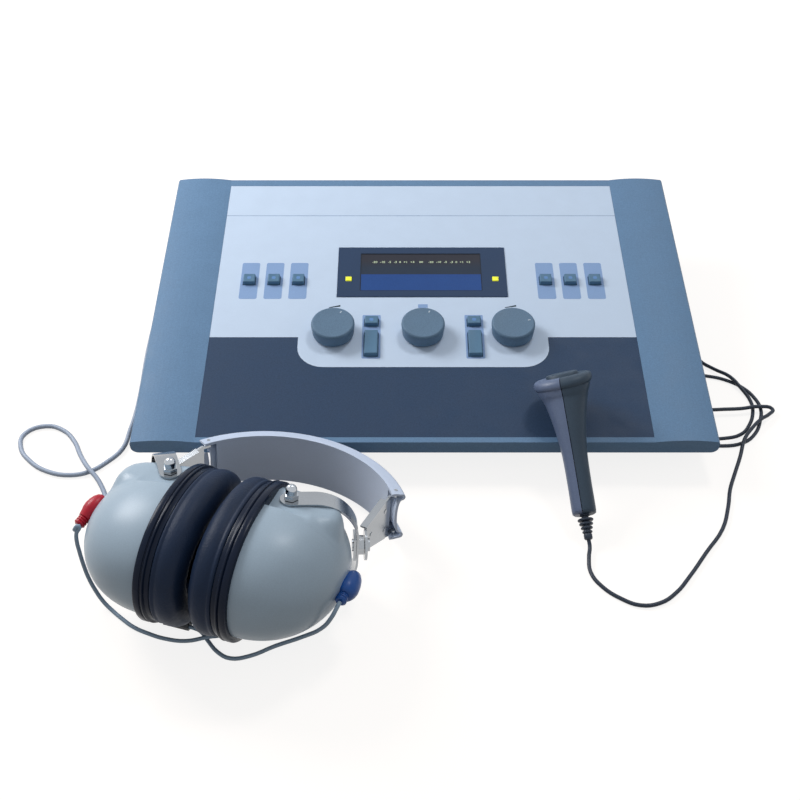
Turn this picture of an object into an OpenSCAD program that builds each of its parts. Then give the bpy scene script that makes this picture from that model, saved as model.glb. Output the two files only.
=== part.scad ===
// Desktop audiometer: sloping console, noise-excluding headset and patient response handle.
// Working frame: x to the right, y to the back, z up, table at z = 0. "deck" coordinates are
// u (right), v (back along the slope) and n (off the deck).

/* [Console] */
// Width of the console
console_w = 360; // [340:2:380]
// Depth of the console along its sloping deck
console_d = 250; // [235:1:265]
// Height of the front top edge above the table
front_h = 26; // [24:0.5:30]
// Slope of the deck in degrees
slope = 7; // [5:0.5:9]
// Thickness of the deck's edge
edge_h = 10; // [9:0.5:12]
// Wall of the cover
cover_wall = 2.4; // [2:0.1:3]
// Width of each raised side rail
rail_w = 39.6; // [36:0.2:42]
// Crown of the rails above the deck
rail_crown = 1.7; // [0.8:0.1:2.4]
// Height of the rubber feet
foot_h = 3; // [2.5:0.5:4]
// Wall of the base tray
tray_wall = 1.5; // [1:0.1:2]

/* [Deck parts] */
// Thickness of the printed films on the deck
film_t = 0.4; // [0.3:0.1:0.5]
// Line where the white film meets the navy film
film_split_v = 88.5; // [80:0.5:92]
// Half width of the white lobe round the knobs
lobe_half_w = 82; // [78:1:90]
// Display window width
window_w = 116; // [104:1:120]
// Display window depth
window_d = 49.3; // [46:0.1:56]
// Knob diameter
knob_dia = 28.5; // [24:0.5:30]
// Knob height
knob_h = 9.6; // [8:0.2:12]
// Distance between knobs
knob_pitch = 59; // [54:1:62]
// Spindle diameter of the knobs
spindle_dia = 6; // [5:0.5:7]
// Side of the square function keys
key_side = 8; // [7:0.5:9]
// Distance between function keys
key_pitch = 16.8; // [16:0.2:17.4]
// Length of the presenter bars
bar_len = 21.2; // [18:0.2:22]
// Height of the keys above the deck
key_rise = 3; // [2:0.5:4]
// Gap round the keys
key_gap = 0.4; // [0.3:0.05:0.6]

/* [Headset] */
// Outer radius of the headband's arc
band_r = 80.5; // [79:0.5:82]
// Depth of the band's section
band_t = 8; // [7:0.5:9]
// Height of the band's section
band_h = 32; // [28:1:34]
// Wall of the hollow band
band_wall = 1.4; // [1.1:0.1:1.7]
// Half length of the oval cups
cup_long = 48; // [46:0.5:50]
// Half width of the oval cups
cup_short = 35; // [34:0.5:36]
// Depth of the cup's dome
dome_d = 47.6; // [44:0.2:50]
// Wall of the cup shells
shell_wall = 3; // [2.4:0.2:4]
// How far the cup rings stand out past the shells
ring_lip = 3; // [2:0.5:3.5]
// Width of the cup rings
ring_w = 8.7; // [7:0.1:9]
// Gap between the two ear cushions
cushion_gap = 3.5; // [2.5:0.5:6]
// Width of the steel fork strap
strap_w = 12; // [10:0.5:14]
// Thickness of the fork strap
strap_t = 1.2; // [1:0.1:1.5]
// Diameter of the pivot studs
stud_dia = 4; // [3:0.5:5]
// Diameter of the bracket's swivel ear
ear_dia = 17; // [14:1:20]
// Thickness of the bracket plate
plate_t = 1.4; // [1.2:0.1:1.6]
// Diameter of the swivel rivet
rivet_dia = 4; // [3:0.5:5]

/* [Response handle] */
// Length of the handle's two shells
grip_len = 87.5; // [82:0.5:94]
// Length of the strain relief
relief_len = 15; // [12:1:18]
// Wall of the handle shells
grip_wall = 2; // [1.6:0.2:2.6]
// How far the response button stands out
button_rise = 2.5; // [2:0.5:4]

/* [Cords] */
// Headset lead diameter
lead_dia = 3; // [2.6:0.1:3]
// Cup cord diameter
cup_cord_dia = 2.3; // [2:0.1:2.4]
// Response cord diameter
resp_dia = 2.4; // [2:0.1:2.4]
// Middle radius of the headset lead's coil
lead_coil_r = 16.5; // [16:0.5:18]
// Middle radius of the response cord's coil
resp_coil_r = 13; // [13:0.5:14.5]

/* [Hidden] */
$fn = 48;

// Where the working frame's origin lies in the part's own frame
origin_shift = [6.5, -47.6, 0];
// Seating gap between pieces that only lie near each other
seat = 0.1;
// Running clearance of shafts in their bores, on the radius
run_fit = 0.05;

// ---- Deck layout, in deck coordinates ----
half_w = console_w / 2;
deck_half_w = half_w - rail_w;
edge_round = 4.5;
film_recess = film_t + 0.1;
film_gap = 0.1;
film_v0 = 4;
film_v1 = console_d - 6.7;
lobe_v = 62;
lobe_round = 17.5;
window_mid_v = 150.65;
window_t = 0.9;
lcd_w = 86;
lcd_d = 40;
light_side = 4;
light_u = 50.5;
light_v = 143.3;
knob_v = 92.3;
knob_lift = 0.5;
spindle_deep = 10.5;
bushing_r = spindle_dia / 2 + 1.3;
key_v = 142;
key_first_u = 84.7;
small_u = 34;
small_w = 8.8;
small_d = 7;
small_v = 102;
bar_w = 8.8;
bar_v = 82;
key_deep = 6.1;
board_n = -12.4;
board_t = 1.6;
switch_h = 4;

// ---- Base, in working coordinates ----
tray_half_w = 146;
tray_y0 = 20;
tray_y1 = console_d - 6;
tray_floor = foot_h;
floor_top = tray_floor + tray_wall;
post_x = 132;
post_y = [42, 204];
screw_r = 1.2;
socket_z = 24;
jack_x = [-125, 95, 125];
jack_bore_r = 3.175 + run_fit;
jack_len = 30;
inlet_x = -30;
rocker_x = 20;

// ---- Headset frame ----
headset_clear = 15.85;
headset_at = [-113.35, -band_r - headset_clear, 38.7];
headset_yaw = -16.5;
headset_lean = 12;
cup_x = 25.6;
stud_out = 9.5;
stud_y = 17;
pad_z = 30.5;
band_c = [16.6, 24.8];
band_a0 = 30.5;
band_a1 = 140.5;
pin_r = 1;
pin_inset = 4.1;
pin_line_r = 75.8;
bow_r = 25;
ear_reach = 41;
fork_reach = ear_reach - 4;
ear_set = 5;
fork_dir = [124.5, 22];
strap_gap = 0.3;
nut_h = 2.6;
lobe_z = band_h / 2;
knuckle_r = 1.8;
knuckle_z0 = lobe_z - 4.1;
knuckle_z1 = lobe_z - 2.2;

// ---- Handle frame ----
handle_at = [95, -59.2, 4.6];
handle_dir = [-0.106, 0.879, 0.465];
handle_roll = -22;
head_lean = 25;

// ---- Cord routes, in working coordinates ----
lead_coil_c = [-80, 282];
resp_coil_c = [80, 282];
coil_layers = 4;
lead_turns = 2.5;
resp_turns = 2.75;
lead_z = 1.6;
resp_z = 1.3;
lead_route = [[-150, 260, 1.6], [-182, 248, 1.6], [-190, 225, 1.6], [-190, 170, 1.6],
  [-190, 115, 1.6], [-188, 70, 1.6], [-188, 50, 1.6], [-189, 36, 1.6], [-191, 19, 1.6], [-199, 7, 1.6],
  [-208, -1, 1.6], [-219, -4, 1.6], [-234, -1, 1.6], [-247, 8, 1.6], [-256, 21, 1.6],
  [-256, 33, 1.6], [-244, 40, 1.6], [-232, 36, 1.6], [-223, 26, 1.8], [-216, 12, 3.2],
  [-209, 0, 4.9], [-200, -11, 3.4], [-192, -28, 1.6], [-187, -48, 1.6], [-180, -70, 1.6],
  [-172, -88, 1.6], [-161, -103, 1.6], [-152, -112, 1.6]];
resp_route = [[120, 262, 1.3], [160, 257, 1.3], [184, 245, 1.3], [190, 220, 1.3], [190, 170, 1.3],
  [189, 130, 1.3], [191, 106, 1.3], [199, 95, 2.6], [207, 86, 4.1], [213, 76, 2.4],
  [217, 64, 1.3], [216, 53, 1.3], [211, 41, 1.3], [203, 31, 2.6], [191, 26, 4.1],
  [177, 26, 4.1], [164, 31, 3], [156, 43, 1.3], [154, 58, 1.3], [158, 73, 1.3],
  [168, 85, 1.3], [181, 90, 1.3], [195, 89, 1.3], [207, 84, 1.3], [215, 77, 1.3],
  [220, 68, 1.3], [222, 57, 1.3], [219, 45, 1.3], [213, 33, 1.3], [204, 25, 1.3],
  [190, 22, 1.3], [176, 25, 1.3], [167, 33, 1.3], [166, 43, 2.4], [176, 51, 4],
  [192, 53, 4.1], [208, 54, 4.1], [221, 56, 4.1], [229, 55, 2.8], [226, 50, 3.2], [219, 44, 4.2],
  [210, 34, 4.1], [204, 25, 4.1], [199, 12, 2.4], [192, -4, 1.3], [187, -16, 1.3],
  [183, -30, 1.3], [176, -48, 1.3], [163, -66, 1.3], [150, -84, 1.3], [140, -96, 1.3],
  [130, -103, 1.3], [119, -104.5, 1.3], [109, -100, 1.3], [99, -91, 1.3], [94, -81, 1.3], [94, -71, 2.4]];
red_route = [[-188.6, -88.5, 49.5], [-190.4, -89.6, 45], [-191.2, -90.2, 39], [-191, -91, 32],
  [-190, -93, 24], [-188, -96, 16], [-184.6, -99.6, 9], [-180, -103.8, 3.6], [-174.5, -108.3, 1.3],
  [-168, -114, 1.2], [-161, -119.4, 1.2], [-152, -123.8, 1.2], [-143, -127, 1.2], [-131, -129, 1.8], [-119, -128, 4], [-111, -125.5, 3],
  [-108, -120.5, 1.6], [-112, -116, 1.6], [-120, -115.4, 1.6]];
blue_route = [[-124, -122.4, 1.6], [-120, -127.5, 1.3], [-113, -136, 1.2], [-106, -140, 1.4],
  [-96, -139.5, 2.6], [-81.5, -137.5, 9], [-66, -138, 18], [-56, -139.5, 27],
  [-50.5, -139, 35.5]];
splitter_at = [-137, -116.4, 0.2];
splitter_len = 15;
splitter_w = 7;
splitter_h = 4.6;

// ---- Helpers ----
function arc(cx, cy, r, a0, a1, n) =
  [for (i = [0:n]) let (a = a0 + (a1 - a0) * i / n) [cx + r * cos(a), cy + r * sin(a)]];
function oval(a, b, e, n) =
  [for (i = [0:n - 1]) let (t = 360 * i / n, c = cos(t), s = sin(t))
    [a * sign(c) * pow(abs(c), 2 / e), b * sign(s) * pow(abs(s), 2 / e)]];
function unit(v) = v / norm(v);
function total(v, i = 0) = i < len(v) ? v[i] + total(v, i + 1) : 0;
function path_length(p) = total([for (i = [0:len(p) - 2]) norm(p[i + 1] - p[i])]);

// Closed skin over rings of equal size, flat at both ends
module skin(rings) {
  m = len(rings);
  k = len(rings[0]);
  sides = [for (i = [0:m - 2], j = [0:k - 1]) let (q = (j + 1) % k)
    each [[i * k + j, i * k + q, (i + 1) * k + q], [i * k + j, (i + 1) * k + q, (i + 1) * k + j]]];
  low = [for (j = [1:k - 2]) [0, j + 1, j]];
  high = [for (j = [1:k - 2]) [(m - 1) * k, (m - 1) * k + j, (m - 1) * k + j + 1]];
  polyhedron(points = [for (r = rings) each r],
    faces = [for (f = concat(sides, low, high)) [f[2], f[1], f[0]]]);
}

// Closed skin over rings that run right round and meet
module ring_skin(rings) {
  m = len(rings);
  k = len(rings[0]);
  polyhedron(points = [for (r = rings) each r],
    faces = [for (i = [0:m - 1], j = [0:k - 1]) let (p = (i + 1) % m, q = (j + 1) % k)
      each [[p * k + q, i * k + q, i * k + j], [p * k + j, p * k + q, i * k + j]]]);
}

// Unit tangent of a route at point i
function along(p, i) = unit(p[min(i + 1, len(p) - 1)] - p[max(i - 1, 0)]);

// Side vectors carried along a route, so that a swept tube never twists
function carried(p, i, side) =
  let (t = along(p, i), s = unit(side - (side * t) * t))
  i == len(p) - 1 ? [s] : concat([s], carried(p, i + 1, s));

// Tube with flat ends along the points p
module tube(p, dia, sides) {
  first = along(p, 0);
  side0 = abs(first[2]) > 0.9 ? [1, 0, 0] : [0, 0, 1];
  s = carried(p, 0, side0);
  skin([for (i = [0:len(p) - 1]) let (t = along(p, i), b = cross(t, s[i]))
    [for (j = [0:sides - 1]) let (a = 360 * (j + 0.5) / sides)
      p[i] + dia / 2 * (cos(a) * s[i] + sin(a) * b)]]);
}

// Point on a piled coil after w turns; hand is 1 or -1
function coil_point(w, c, r, dia, turns, z0, hand) =
  let (cycle = turns + 0.5, k = min(floor(w / cycle), coil_layers - 1), q = w - k * cycle,
    pitch_r = coil_pitch_r(dia), pitch_z = coil_pitch_z(dia), half = turns * pitch_r / 2,
    even = k % 2 == 0, f = min(q / turns, 1), g = max(0, q - turns) / 0.5,
    rad = even ? r + half - 2 * half * f : r - half + 2 * half * f,
    a = -90 + hand * 360 * w)
  [c[0] + rad * cos(a), c[1] + rad * sin(a), z0 + (k + g) * pitch_z];
function coil_pitch_r(dia) = dia + 1.05;
function coil_pitch_z(dia) = dia + 0.65;
function coil_turns(turns) = coil_layers * turns + (coil_layers - 1) * 0.5;
function coil_path(c, r, dia, turns, z0, hand) =
  let (n = ceil(coil_turns(turns) * 24), p = [for (i = [0:n])
    coil_point(coil_turns(turns) * i / n, c, r, dia, turns, z0, hand)],
    t0 = [hand, 0, 0], t1 = [-hand * (floor(coil_turns(turns) * 2) % 2 == 1 ? 1 : -1), 0, 0])
  concat([p[0] - dia * t0], p, [p[n] + dia * t1]);

// Least gap between a coil's turns, measured on its points
function turn_gap(p, dia, skip) =
  min([for (i = [0:2:len(p) - 1], j = [i + skip:1:len(p) - 1]) norm(p[i] - p[j])]) - dia;

lead_coil_path = coil_path(lead_coil_c, lead_coil_r, lead_dia, lead_turns, lead_z, 1);
resp_coil_path = coil_path(resp_coil_c, resp_coil_r, resp_dia, resp_turns, resp_z, -1);
echo(lead_coil_gap = turn_gap(lead_coil_path, lead_dia, 12));
echo(resp_coil_gap = turn_gap(resp_coil_path, resp_dia, 12));

// Frames of the sub-assemblies
module in_working() {
  translate(origin_shift) children();
}
module on_deck(u = 0, v = 0, n = 0) {
  in_working() translate([0, 0, front_h]) rotate([slope, 0, 0]) translate([u, v, n]) children();
}
module in_headset() {
  in_working() translate(headset_at) rotate([0, 0, headset_yaw]) rotate([-headset_lean, 0, 0])
    children();
}
module in_handle() {
  yaw = atan2(-handle_dir[0], handle_dir[1]);
  rise = asin(unit(handle_dir)[2]);
  in_working() translate(handle_at) rotate([0, 0, yaw]) rotate([rise, 0, 0])
    rotate([0, handle_roll, 0]) children();
}

// ---- Console ----
rail_r = (rail_w * rail_w / 4 + rail_crown * rail_crown) / (2 * rail_crown);
rail_half_angle = asin(rail_w / 2 / rail_r);

function rail_arc(drop) = arc(deck_half_w + rail_w / 2, rail_crown - rail_r, rail_r - drop,
  90 + rail_half_angle, 90 - rail_half_angle + 0.6, 10);
function half_section(drop) = concat(
  [for (p = rail_arc(drop)) [min(p[0], half_w - drop), p[1]]],
  [[half_w - drop, -1.4 - drop]],
  arc(half_w - edge_round, -edge_h + edge_round, edge_round - drop, 0, -90, 6));
function full_section(drop) = let (h = half_section(drop), n = len(h))
  concat(h, [for (i = [0:n - 1]) [-h[n - 1 - i][0], h[n - 1 - i][1]]]);

module section_along(drop, v0, v1) {
  translate([0, v1, 0]) rotate([90, 0, 0]) linear_extrude(v1 - v0)
    polygon(full_section(drop));
}
module slab(u0, u1, v0, v1, n0, n1) {
  translate([u0, v0, n0]) cube([u1 - u0, v1 - v0, n1 - n0]);
}
module block_at(u, v, w, d, n0, n1) {
  translate([u - w / 2, v - d / 2, n0]) cube([w, d, n1 - n0]);
}
knob_u = [-knob_pitch, 0, knob_pitch];
key_u = [for (i = [0:2]) -key_first_u - (2 - i) * key_pitch,
  for (i = [0:2]) key_first_u + i * key_pitch];
window_v0 = window_mid_v - window_d / 2;

module deck_holes(extra) {
  for (u = knob_u) translate([u, knob_v, -20]) cylinder(r = bushing_r + 0.4, h = 30);
  for (u = key_u) block_at(u, key_v, key_side + 2 * extra, key_side + 2 * extra, -20, 10);
  for (s = [-1, 1]) {
    block_at(s * small_u, small_v, small_w + 2 * extra, small_d + 2 * extra, -20, 10);
    block_at(s * small_u, bar_v, bar_w + 2 * extra, bar_len + 2 * extra, -20, 10);
  }
}

module top_cover() {
  color("#6d8dab") on_deck() difference() {
    union() {
      difference() {
        section_along(0, 0, console_d);
        section_along(cover_wall, cover_wall, console_d - cover_wall);
        slab(-tray_half_w - 0.3, tray_half_w + 0.3, tray_y0 - 1.6, console_d - cover_wall,
          -edge_h - 1, -cover_wall - 1);
      }
      for (u = [-115, 0, 115], v = [64, 176]) if (u != 0 || v < 100) translate([u, v, board_n])
        cylinder(r = 3, h = -board_n - cover_wall + 0.01);
    }
    slab(-deck_half_w + 0.1, deck_half_w - 0.1, film_v0, film_v1, -film_recess, 5);
    block_at(0, window_mid_v - 0.1, lcd_w + 2, lcd_d + 2, -20, 5);
    for (s = [-1, 1]) block_at(s * light_u, light_v, light_side + 0.6, light_side + 0.6, -20, 5);
    deck_holes(key_gap);
  }
}

module under_deck(drop) {
  translate([0, 0, front_h]) rotate([slope, 0, 0])
    slab(-half_w, half_w, -20, console_d + 40, -90, -drop);
}

module tray_shell() {
  difference() {
    translate([-tray_half_w, tray_y0, tray_floor])
      cube([2 * tray_half_w, tray_y1 - tray_y0, 60]);
    translate([-tray_half_w + tray_wall, tray_y0 + tray_wall, floor_top])
      cube([2 * (tray_half_w - tray_wall), tray_y1, 60]);
    for (x = [-post_x, post_x], y = post_y) translate([x, y, 0]) cylinder(r = 1.5, h = 10);
  }
}

module base_tray() {
  color("#4a525a") in_working() union() {
    intersection() {
      tray_shell();
      under_deck(cover_wall + seat);
    }
    for (x = [-post_x, post_x], y = post_y) intersection() {
      translate([x, y, floor_top - 0.01]) difference() {
        cylinder(r = 4, h = 60);
        translate([0, 0, -1]) cylinder(r = screw_r + run_fit, h = 12);
      }
      under_deck(cover_wall + seat);
    }
  }
}

module rear_panel() {
  color("#3d444c") in_working() intersection() {
    difference() {
      translate([-tray_half_w, tray_y1 + 0.1, tray_floor])
        cube([2 * tray_half_w, 1.8, 60]);
      for (x = jack_x) translate([x, tray_y1 - 1, socket_z]) rotate([-90, 0, 0])
        cylinder(r = 4.6, h = 5);
      translate([inlet_x - 14.1, tray_y1 - 1, socket_z - 10.6]) cube([28.2, 5, 21.2]);
      translate([rocker_x - 7.6, tray_y1 - 1, socket_z - 10.1]) cube([15.2, 5, 20.2]);
    }
    under_deck(cover_wall + seat);
  }
}

module film_outline() {
  polygon(concat([[-deck_half_w + 0.2, film_v1 - film_gap], [-deck_half_w + 0.2, film_split_v],
    [-lobe_half_w, film_split_v]],
    arc(-lobe_half_w + lobe_round, lobe_v + lobe_round, lobe_round, 180, 270, 8),
    arc(lobe_half_w - lobe_round, lobe_v + lobe_round, lobe_round, 270, 360, 8),
    [[lobe_half_w, film_split_v], [deck_half_w - 0.2, film_split_v],
    [deck_half_w - 0.2, film_v1 - film_gap]]));
}

module upper_overlay() {
  color("#c8d9ef") on_deck() difference() {
    translate([0, 0, -film_recess]) linear_extrude(film_t) film_outline();
    block_at(0, window_mid_v, window_w + 0.2, window_d + 0.2, -5, 5);
    deck_holes(key_gap);
  }
}

module lower_overlay() {
  color("#3b4f70") on_deck() difference() {
    slab(-deck_half_w + 0.2, deck_half_w - 0.2, film_v0 + film_gap, film_split_v,
      -film_recess, -film_recess + film_t);
    translate([0, 0, -film_recess - 1]) linear_extrude(film_t + 2) film_outline();
  }
}

module display_window() {
  color("#34496a") on_deck() difference() {
    block_at(0, window_mid_v, window_w, window_d, -film_recess, -film_recess + window_t);
    for (s = [-1, 1]) block_at(s * light_u, light_v, light_side + 0.2, light_side + 0.2, -5, 5);
  }
}

module lcd_module() {
  color("#2f5596") on_deck() {
    block_at(0, window_mid_v - 0.1, lcd_w, lcd_d, -8, -film_recess - seat);
    block_at(0, window_mid_v - 0.1, lcd_w, lcd_d + 12, -5, -cover_wall - seat);
  }
}

module indicator_lights() {
  color("#e6e83a") on_deck() for (s = [-1, 1])
    block_at(s * light_u, light_v, light_side - 0.1, light_side - 0.1, board_n, 0.7);
}

module main_board() {
  color("#2f6b45") on_deck() slab(-123, 123, 56, 184, board_n - board_t, board_n);
}

module rotary_encoders() {
  color("#8b9097") on_deck() for (u = knob_u) translate([u, knob_v, 0]) difference() {
    union() {
      translate([-6, -6, board_n]) cube([12, 12, 6]);
      translate([0, 0, board_n]) cylinder(r = bushing_r, h = -board_n - 0.6);
    }
    translate([0, 0, -spindle_deep - 0.5]) cylinder(r = spindle_dia / 2 + run_fit, h = 20);
  }
}

module one_switch(u, v) {
  translate([u, v, board_n]) {
    translate([-3, -3, 0]) cube([6, 6, switch_h]);
    cylinder(r = 1.7, h = switch_h + 1);
  }
}

module key_switches() {
  color("#202428") on_deck() {
    for (u = key_u) one_switch(u, key_v);
    for (s = [-1, 1]) {
      one_switch(s * small_u, small_v);
      one_switch(s * small_u, bar_v);
    }
  }
}

module power_supply() {
  color("#b9bec4") in_working() translate([-110, 186, floor_top]) {
    cube([62, 46, 22]);
    translate([10, 8, 22]) cylinder(r = 6, h = 8);
    translate([32, 12, 22]) cube([22, 24, 7]);
  }
}

module jack_socket() {
  difference() {
    union() {
      rotate([-90, 0, 0]) cylinder(r = 4.5, h = 3.4);
      translate([-7, -jack_len + 2.4, -7]) cube([14, jack_len - 2.5, 14]);
      translate([0, 2.2, 0]) rotate([-90, 0, 0]) cylinder(r = 6, h = 1.2);
    }
    translate([0, 3.4 - jack_len, 0]) rotate([-90, 0, 0])
      cylinder(r = jack_bore_r, h = jack_len + 1);
  }
}

module mains_inlet() {
  translate([-14, -18, -10.5]) difference() {
    union() {
      cube([28, 20, 21]);
      translate([-4, 20.2, -2]) cube([36, 1.6, 25]);
      translate([0, 19, 0]) cube([28, 2, 21]);
    }
    translate([2, 6, 2.5]) cube([24, 30, 16]);
  }
  for (p = [[-7, -1.5], [7, -1.5], [0, 2.6]]) translate([p[0] - 1, -13, p[1]]) cube([2, 14, 4]);
}

module rocker_frame() {
  difference() {
    union() {
      translate([-7.5, -14, -10]) cube([15, 16, 20]);
      translate([-9, 2.2, -11.5]) cube([18, 1.4, 23]);
      translate([-7.5, 1, -10]) cube([15, 2, 20]);
    }
    translate([-5.5, -10, -8]) cube([11, 30, 16]);
    translate([-7, -1, 0]) rotate([0, 90, 0]) cylinder(r = 1.05 + run_fit, h = 14);
  }
}

module rear_sockets() {
  color("#23272b") in_working() translate([0, tray_y1, socket_z]) {
    for (x = jack_x) translate([x, 0, 0]) jack_socket();
    translate([inlet_x, 0, 0]) mains_inlet();
    translate([rocker_x, 0, 0]) rocker_frame();
  }
}

module power_rocker() {
  color("#15181b") in_working() translate([rocker_x, tray_y1 - 1, socket_z]) {
    rotate([0, 90, 0]) translate([0, 0, -6.9]) cylinder(r = 1.05, h = 13.8);
    intersection() {
      translate([-5.2, 0, 0]) rotate([0, 90, 0]) cylinder(r = 7.2, h = 10.4);
      translate([-5.2, -1.6, -7.6]) cube([10.4, 5.6, 15.2]);
    }
  }
}

module rubber_feet() {
  color("#1c1f22") in_working() for (x = [-118, 118], y = [36, 228])
    translate([x, y, 0]) cylinder(r = 6, h = foot_h);
}

module case_screws() {
  color("#c0c4c8") in_working() for (x = [-post_x, post_x], y = post_y) translate([x, y, 0]) {
    translate([0, 0, tray_floor - 1.6]) cylinder(r = 2.8, h = 1.6);
    translate([0, 0, tray_floor - 0.1]) cylinder(r = screw_r, h = 10);
  }
}

module knob(u, turned) {
  color("#65717c") on_deck(u, knob_v, 0) rotate([0, 0, turned]) union() {
    rotate_extrude($fn = 64) polygon(concat([[0, knob_lift], [knob_dia / 2 - 0.3, knob_lift],
      [knob_dia / 2, knob_lift + 0.4], [knob_dia / 2, 2]],
      arc(knob_dia / 2 - 1.5, knob_h + knob_lift - 1.1, 1.1, 10, 90, 4),
      [[0, knob_h + knob_lift]]));
    translate([0, 0, -spindle_deep]) cylinder(r = spindle_dia / 2, h = spindle_deep + 2);
    translate([-0.4, knob_dia / 2 - 4.2, knob_h + knob_lift - 0.2]) cube([0.8, 2.2, 0.35]);
  }
}
module left_level_knob() {
  knob(knob_u[0], -30);
}
module frequency_knob() {
  knob(knob_u[1], -20);
}
module right_level_knob() {
  knob(knob_u[2], -62);
}

module key_cap(u, v, w, d) {
  color("#56707a") on_deck(u, v, 0) {
    block_at(0, 0, w, d, -key_deep, key_rise);
    block_at(0, 0, w + 2, d + 2, -key_deep, -key_deep + 2.6);
  }
}
module function_key_1() {
  key_cap(key_u[0], key_v, key_side, key_side);
}
module function_key_2() {
  key_cap(key_u[1], key_v, key_side, key_side);
}
module function_key_3() {
  key_cap(key_u[2], key_v, key_side, key_side);
}
module function_key_4() {
  key_cap(key_u[3], key_v, key_side, key_side);
}
module function_key_5() {
  key_cap(key_u[4], key_v, key_side, key_side);
}
module function_key_6() {
  key_cap(key_u[5], key_v, key_side, key_side);
}
module left_small_key() {
  small_key_cap(-small_u);
}
module right_small_key() {
  small_key_cap(small_u);
}
module small_key_cap(u) {
  color("#56707a") on_deck(u, small_v, 0) {
    block_at(0, 0, small_w, small_d, -key_deep, key_rise);
    block_at(0, 0.3, small_w + 2, small_d + 0.6, -key_deep, -key_deep + 2.6);
  }
}
module presenter_bar(u) {
  color("#56707a") on_deck(u, bar_v, 0) {
    block_at(0, 0, bar_w, bar_len, -key_deep, key_rise);
    block_at(0, -0.3, bar_w + 2, bar_len + 0.6, -key_deep, -key_deep + 2.6);
  }
}
module left_presenter_bar() {
  presenter_bar(-small_u);
}
module right_presenter_bar() {
  presenter_bar(small_u);
}

// ---- Headset ----
band_in = band_r - band_t;
band_waist = band_in + 3.7;
band_lobe_z = lobe_z - 2.6;
function band_outline(drop) =
  let (lobe_r = 2.1, w = band_waist - drop, zl = band_lobe_z - 0.2,
    side = [for (i = [1:7]) let (t = i / 8)
      [w + (band_r - lobe_r + 0.5 - band_waist) * (1 - cos(90 * t)), zl * sin(90 * t) - lobe_r * t]],
    tip = [for (i = [0:6]) let (a = -62 + 152 * i / 6)
      [band_r - lobe_r + (lobe_r - drop) * cos(a), zl + (lobe_r - drop) * sin(a)]],
    top = concat([[w, 0]], side, tip, [[band_in + 2, lobe_z - drop], [band_in + drop, lobe_z - drop]]),
    n = len(top))
  concat(top, [for (i = [0:n - 2]) [top[n - 1 - i][0], -top[n - 1 - i][1]]]);

function polar(r, a) = [r * cos(a), r * sin(a)];
inset_angle = pin_inset / pin_line_r * 180 / PI;
// Index 0 is the red side, 1 the blue side
pin_at = [band_c + polar(pin_line_r, band_a1 - inset_angle),
  band_c + polar(pin_line_r, band_a0 + inset_angle)];
stud_at = [[-cup_x - stud_out, stud_y], [cup_x + stud_out, stud_y]];
ear_at = [for (i = [0, 1]) stud_at[i] + polar(ear_reach, fork_dir[i])];
ear_plane = [fork_dir[0] + 90, fork_dir[1] - 90];
fold_at = [for (i = [0, 1]) ear_at[i] - polar(ear_set, ear_plane[i])];
web_vec = [for (i = [0, 1]) fold_at[i] - pin_at[i]];
// The plate's middle runs beside the pin axis, on the inner side
web_off = [plate_t / 2 + 0.5, -plate_t / 2 - 0.5];
web_len = [for (i = [0, 1]) sqrt(web_vec[i] * web_vec[i] - web_off[i] * web_off[i])];
web_dir = [for (i = [0, 1]) atan2(web_vec[i][1], web_vec[i][0]) - atan2(web_off[i], web_len[i])];

module headband() {
  notch_len = pin_inset + 3.6;
  notch_angle = notch_len / band_in * 180 / PI;
  color("#b0bdd6") in_headset() translate([band_c[0], band_c[1], 0]) difference() {
    rotate([0, 0, band_a0]) rotate_extrude(angle = band_a1 - band_a0, $fn = 96)
      polygon(band_outline(0));
    rotate([0, 0, band_a0 - 1]) rotate_extrude(angle = band_a1 - band_a0 + 2, $fn = 96)
      polygon(band_outline(band_wall));
    for (a = [band_a0 - 2, band_a1 - notch_angle]) rotate([0, 0, a])
      rotate_extrude(angle = notch_angle + 2, $fn = 96)
        translate([band_in - 1, -knuckle_z1 - 0.4]) square([band_wall + 1.6, 2 * knuckle_z1 + 0.8]);
    rotate([0, 0, band_a1 - notch_angle * 0.45]) rotate_extrude(angle = notch_angle, $fn = 96)
      translate([band_in + 3, -knuckle_z1 - 0.4]) square([band_t, 2 * knuckle_z1 + 0.8]);
    for (a = [band_a0 + inset_angle, band_a1 - inset_angle])
      translate([pin_line_r * cos(a), pin_line_r * sin(a), -lobe_z - 1])
        cylinder(r = pin_r + run_fit, h = band_h + 2);
  }
}

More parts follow.
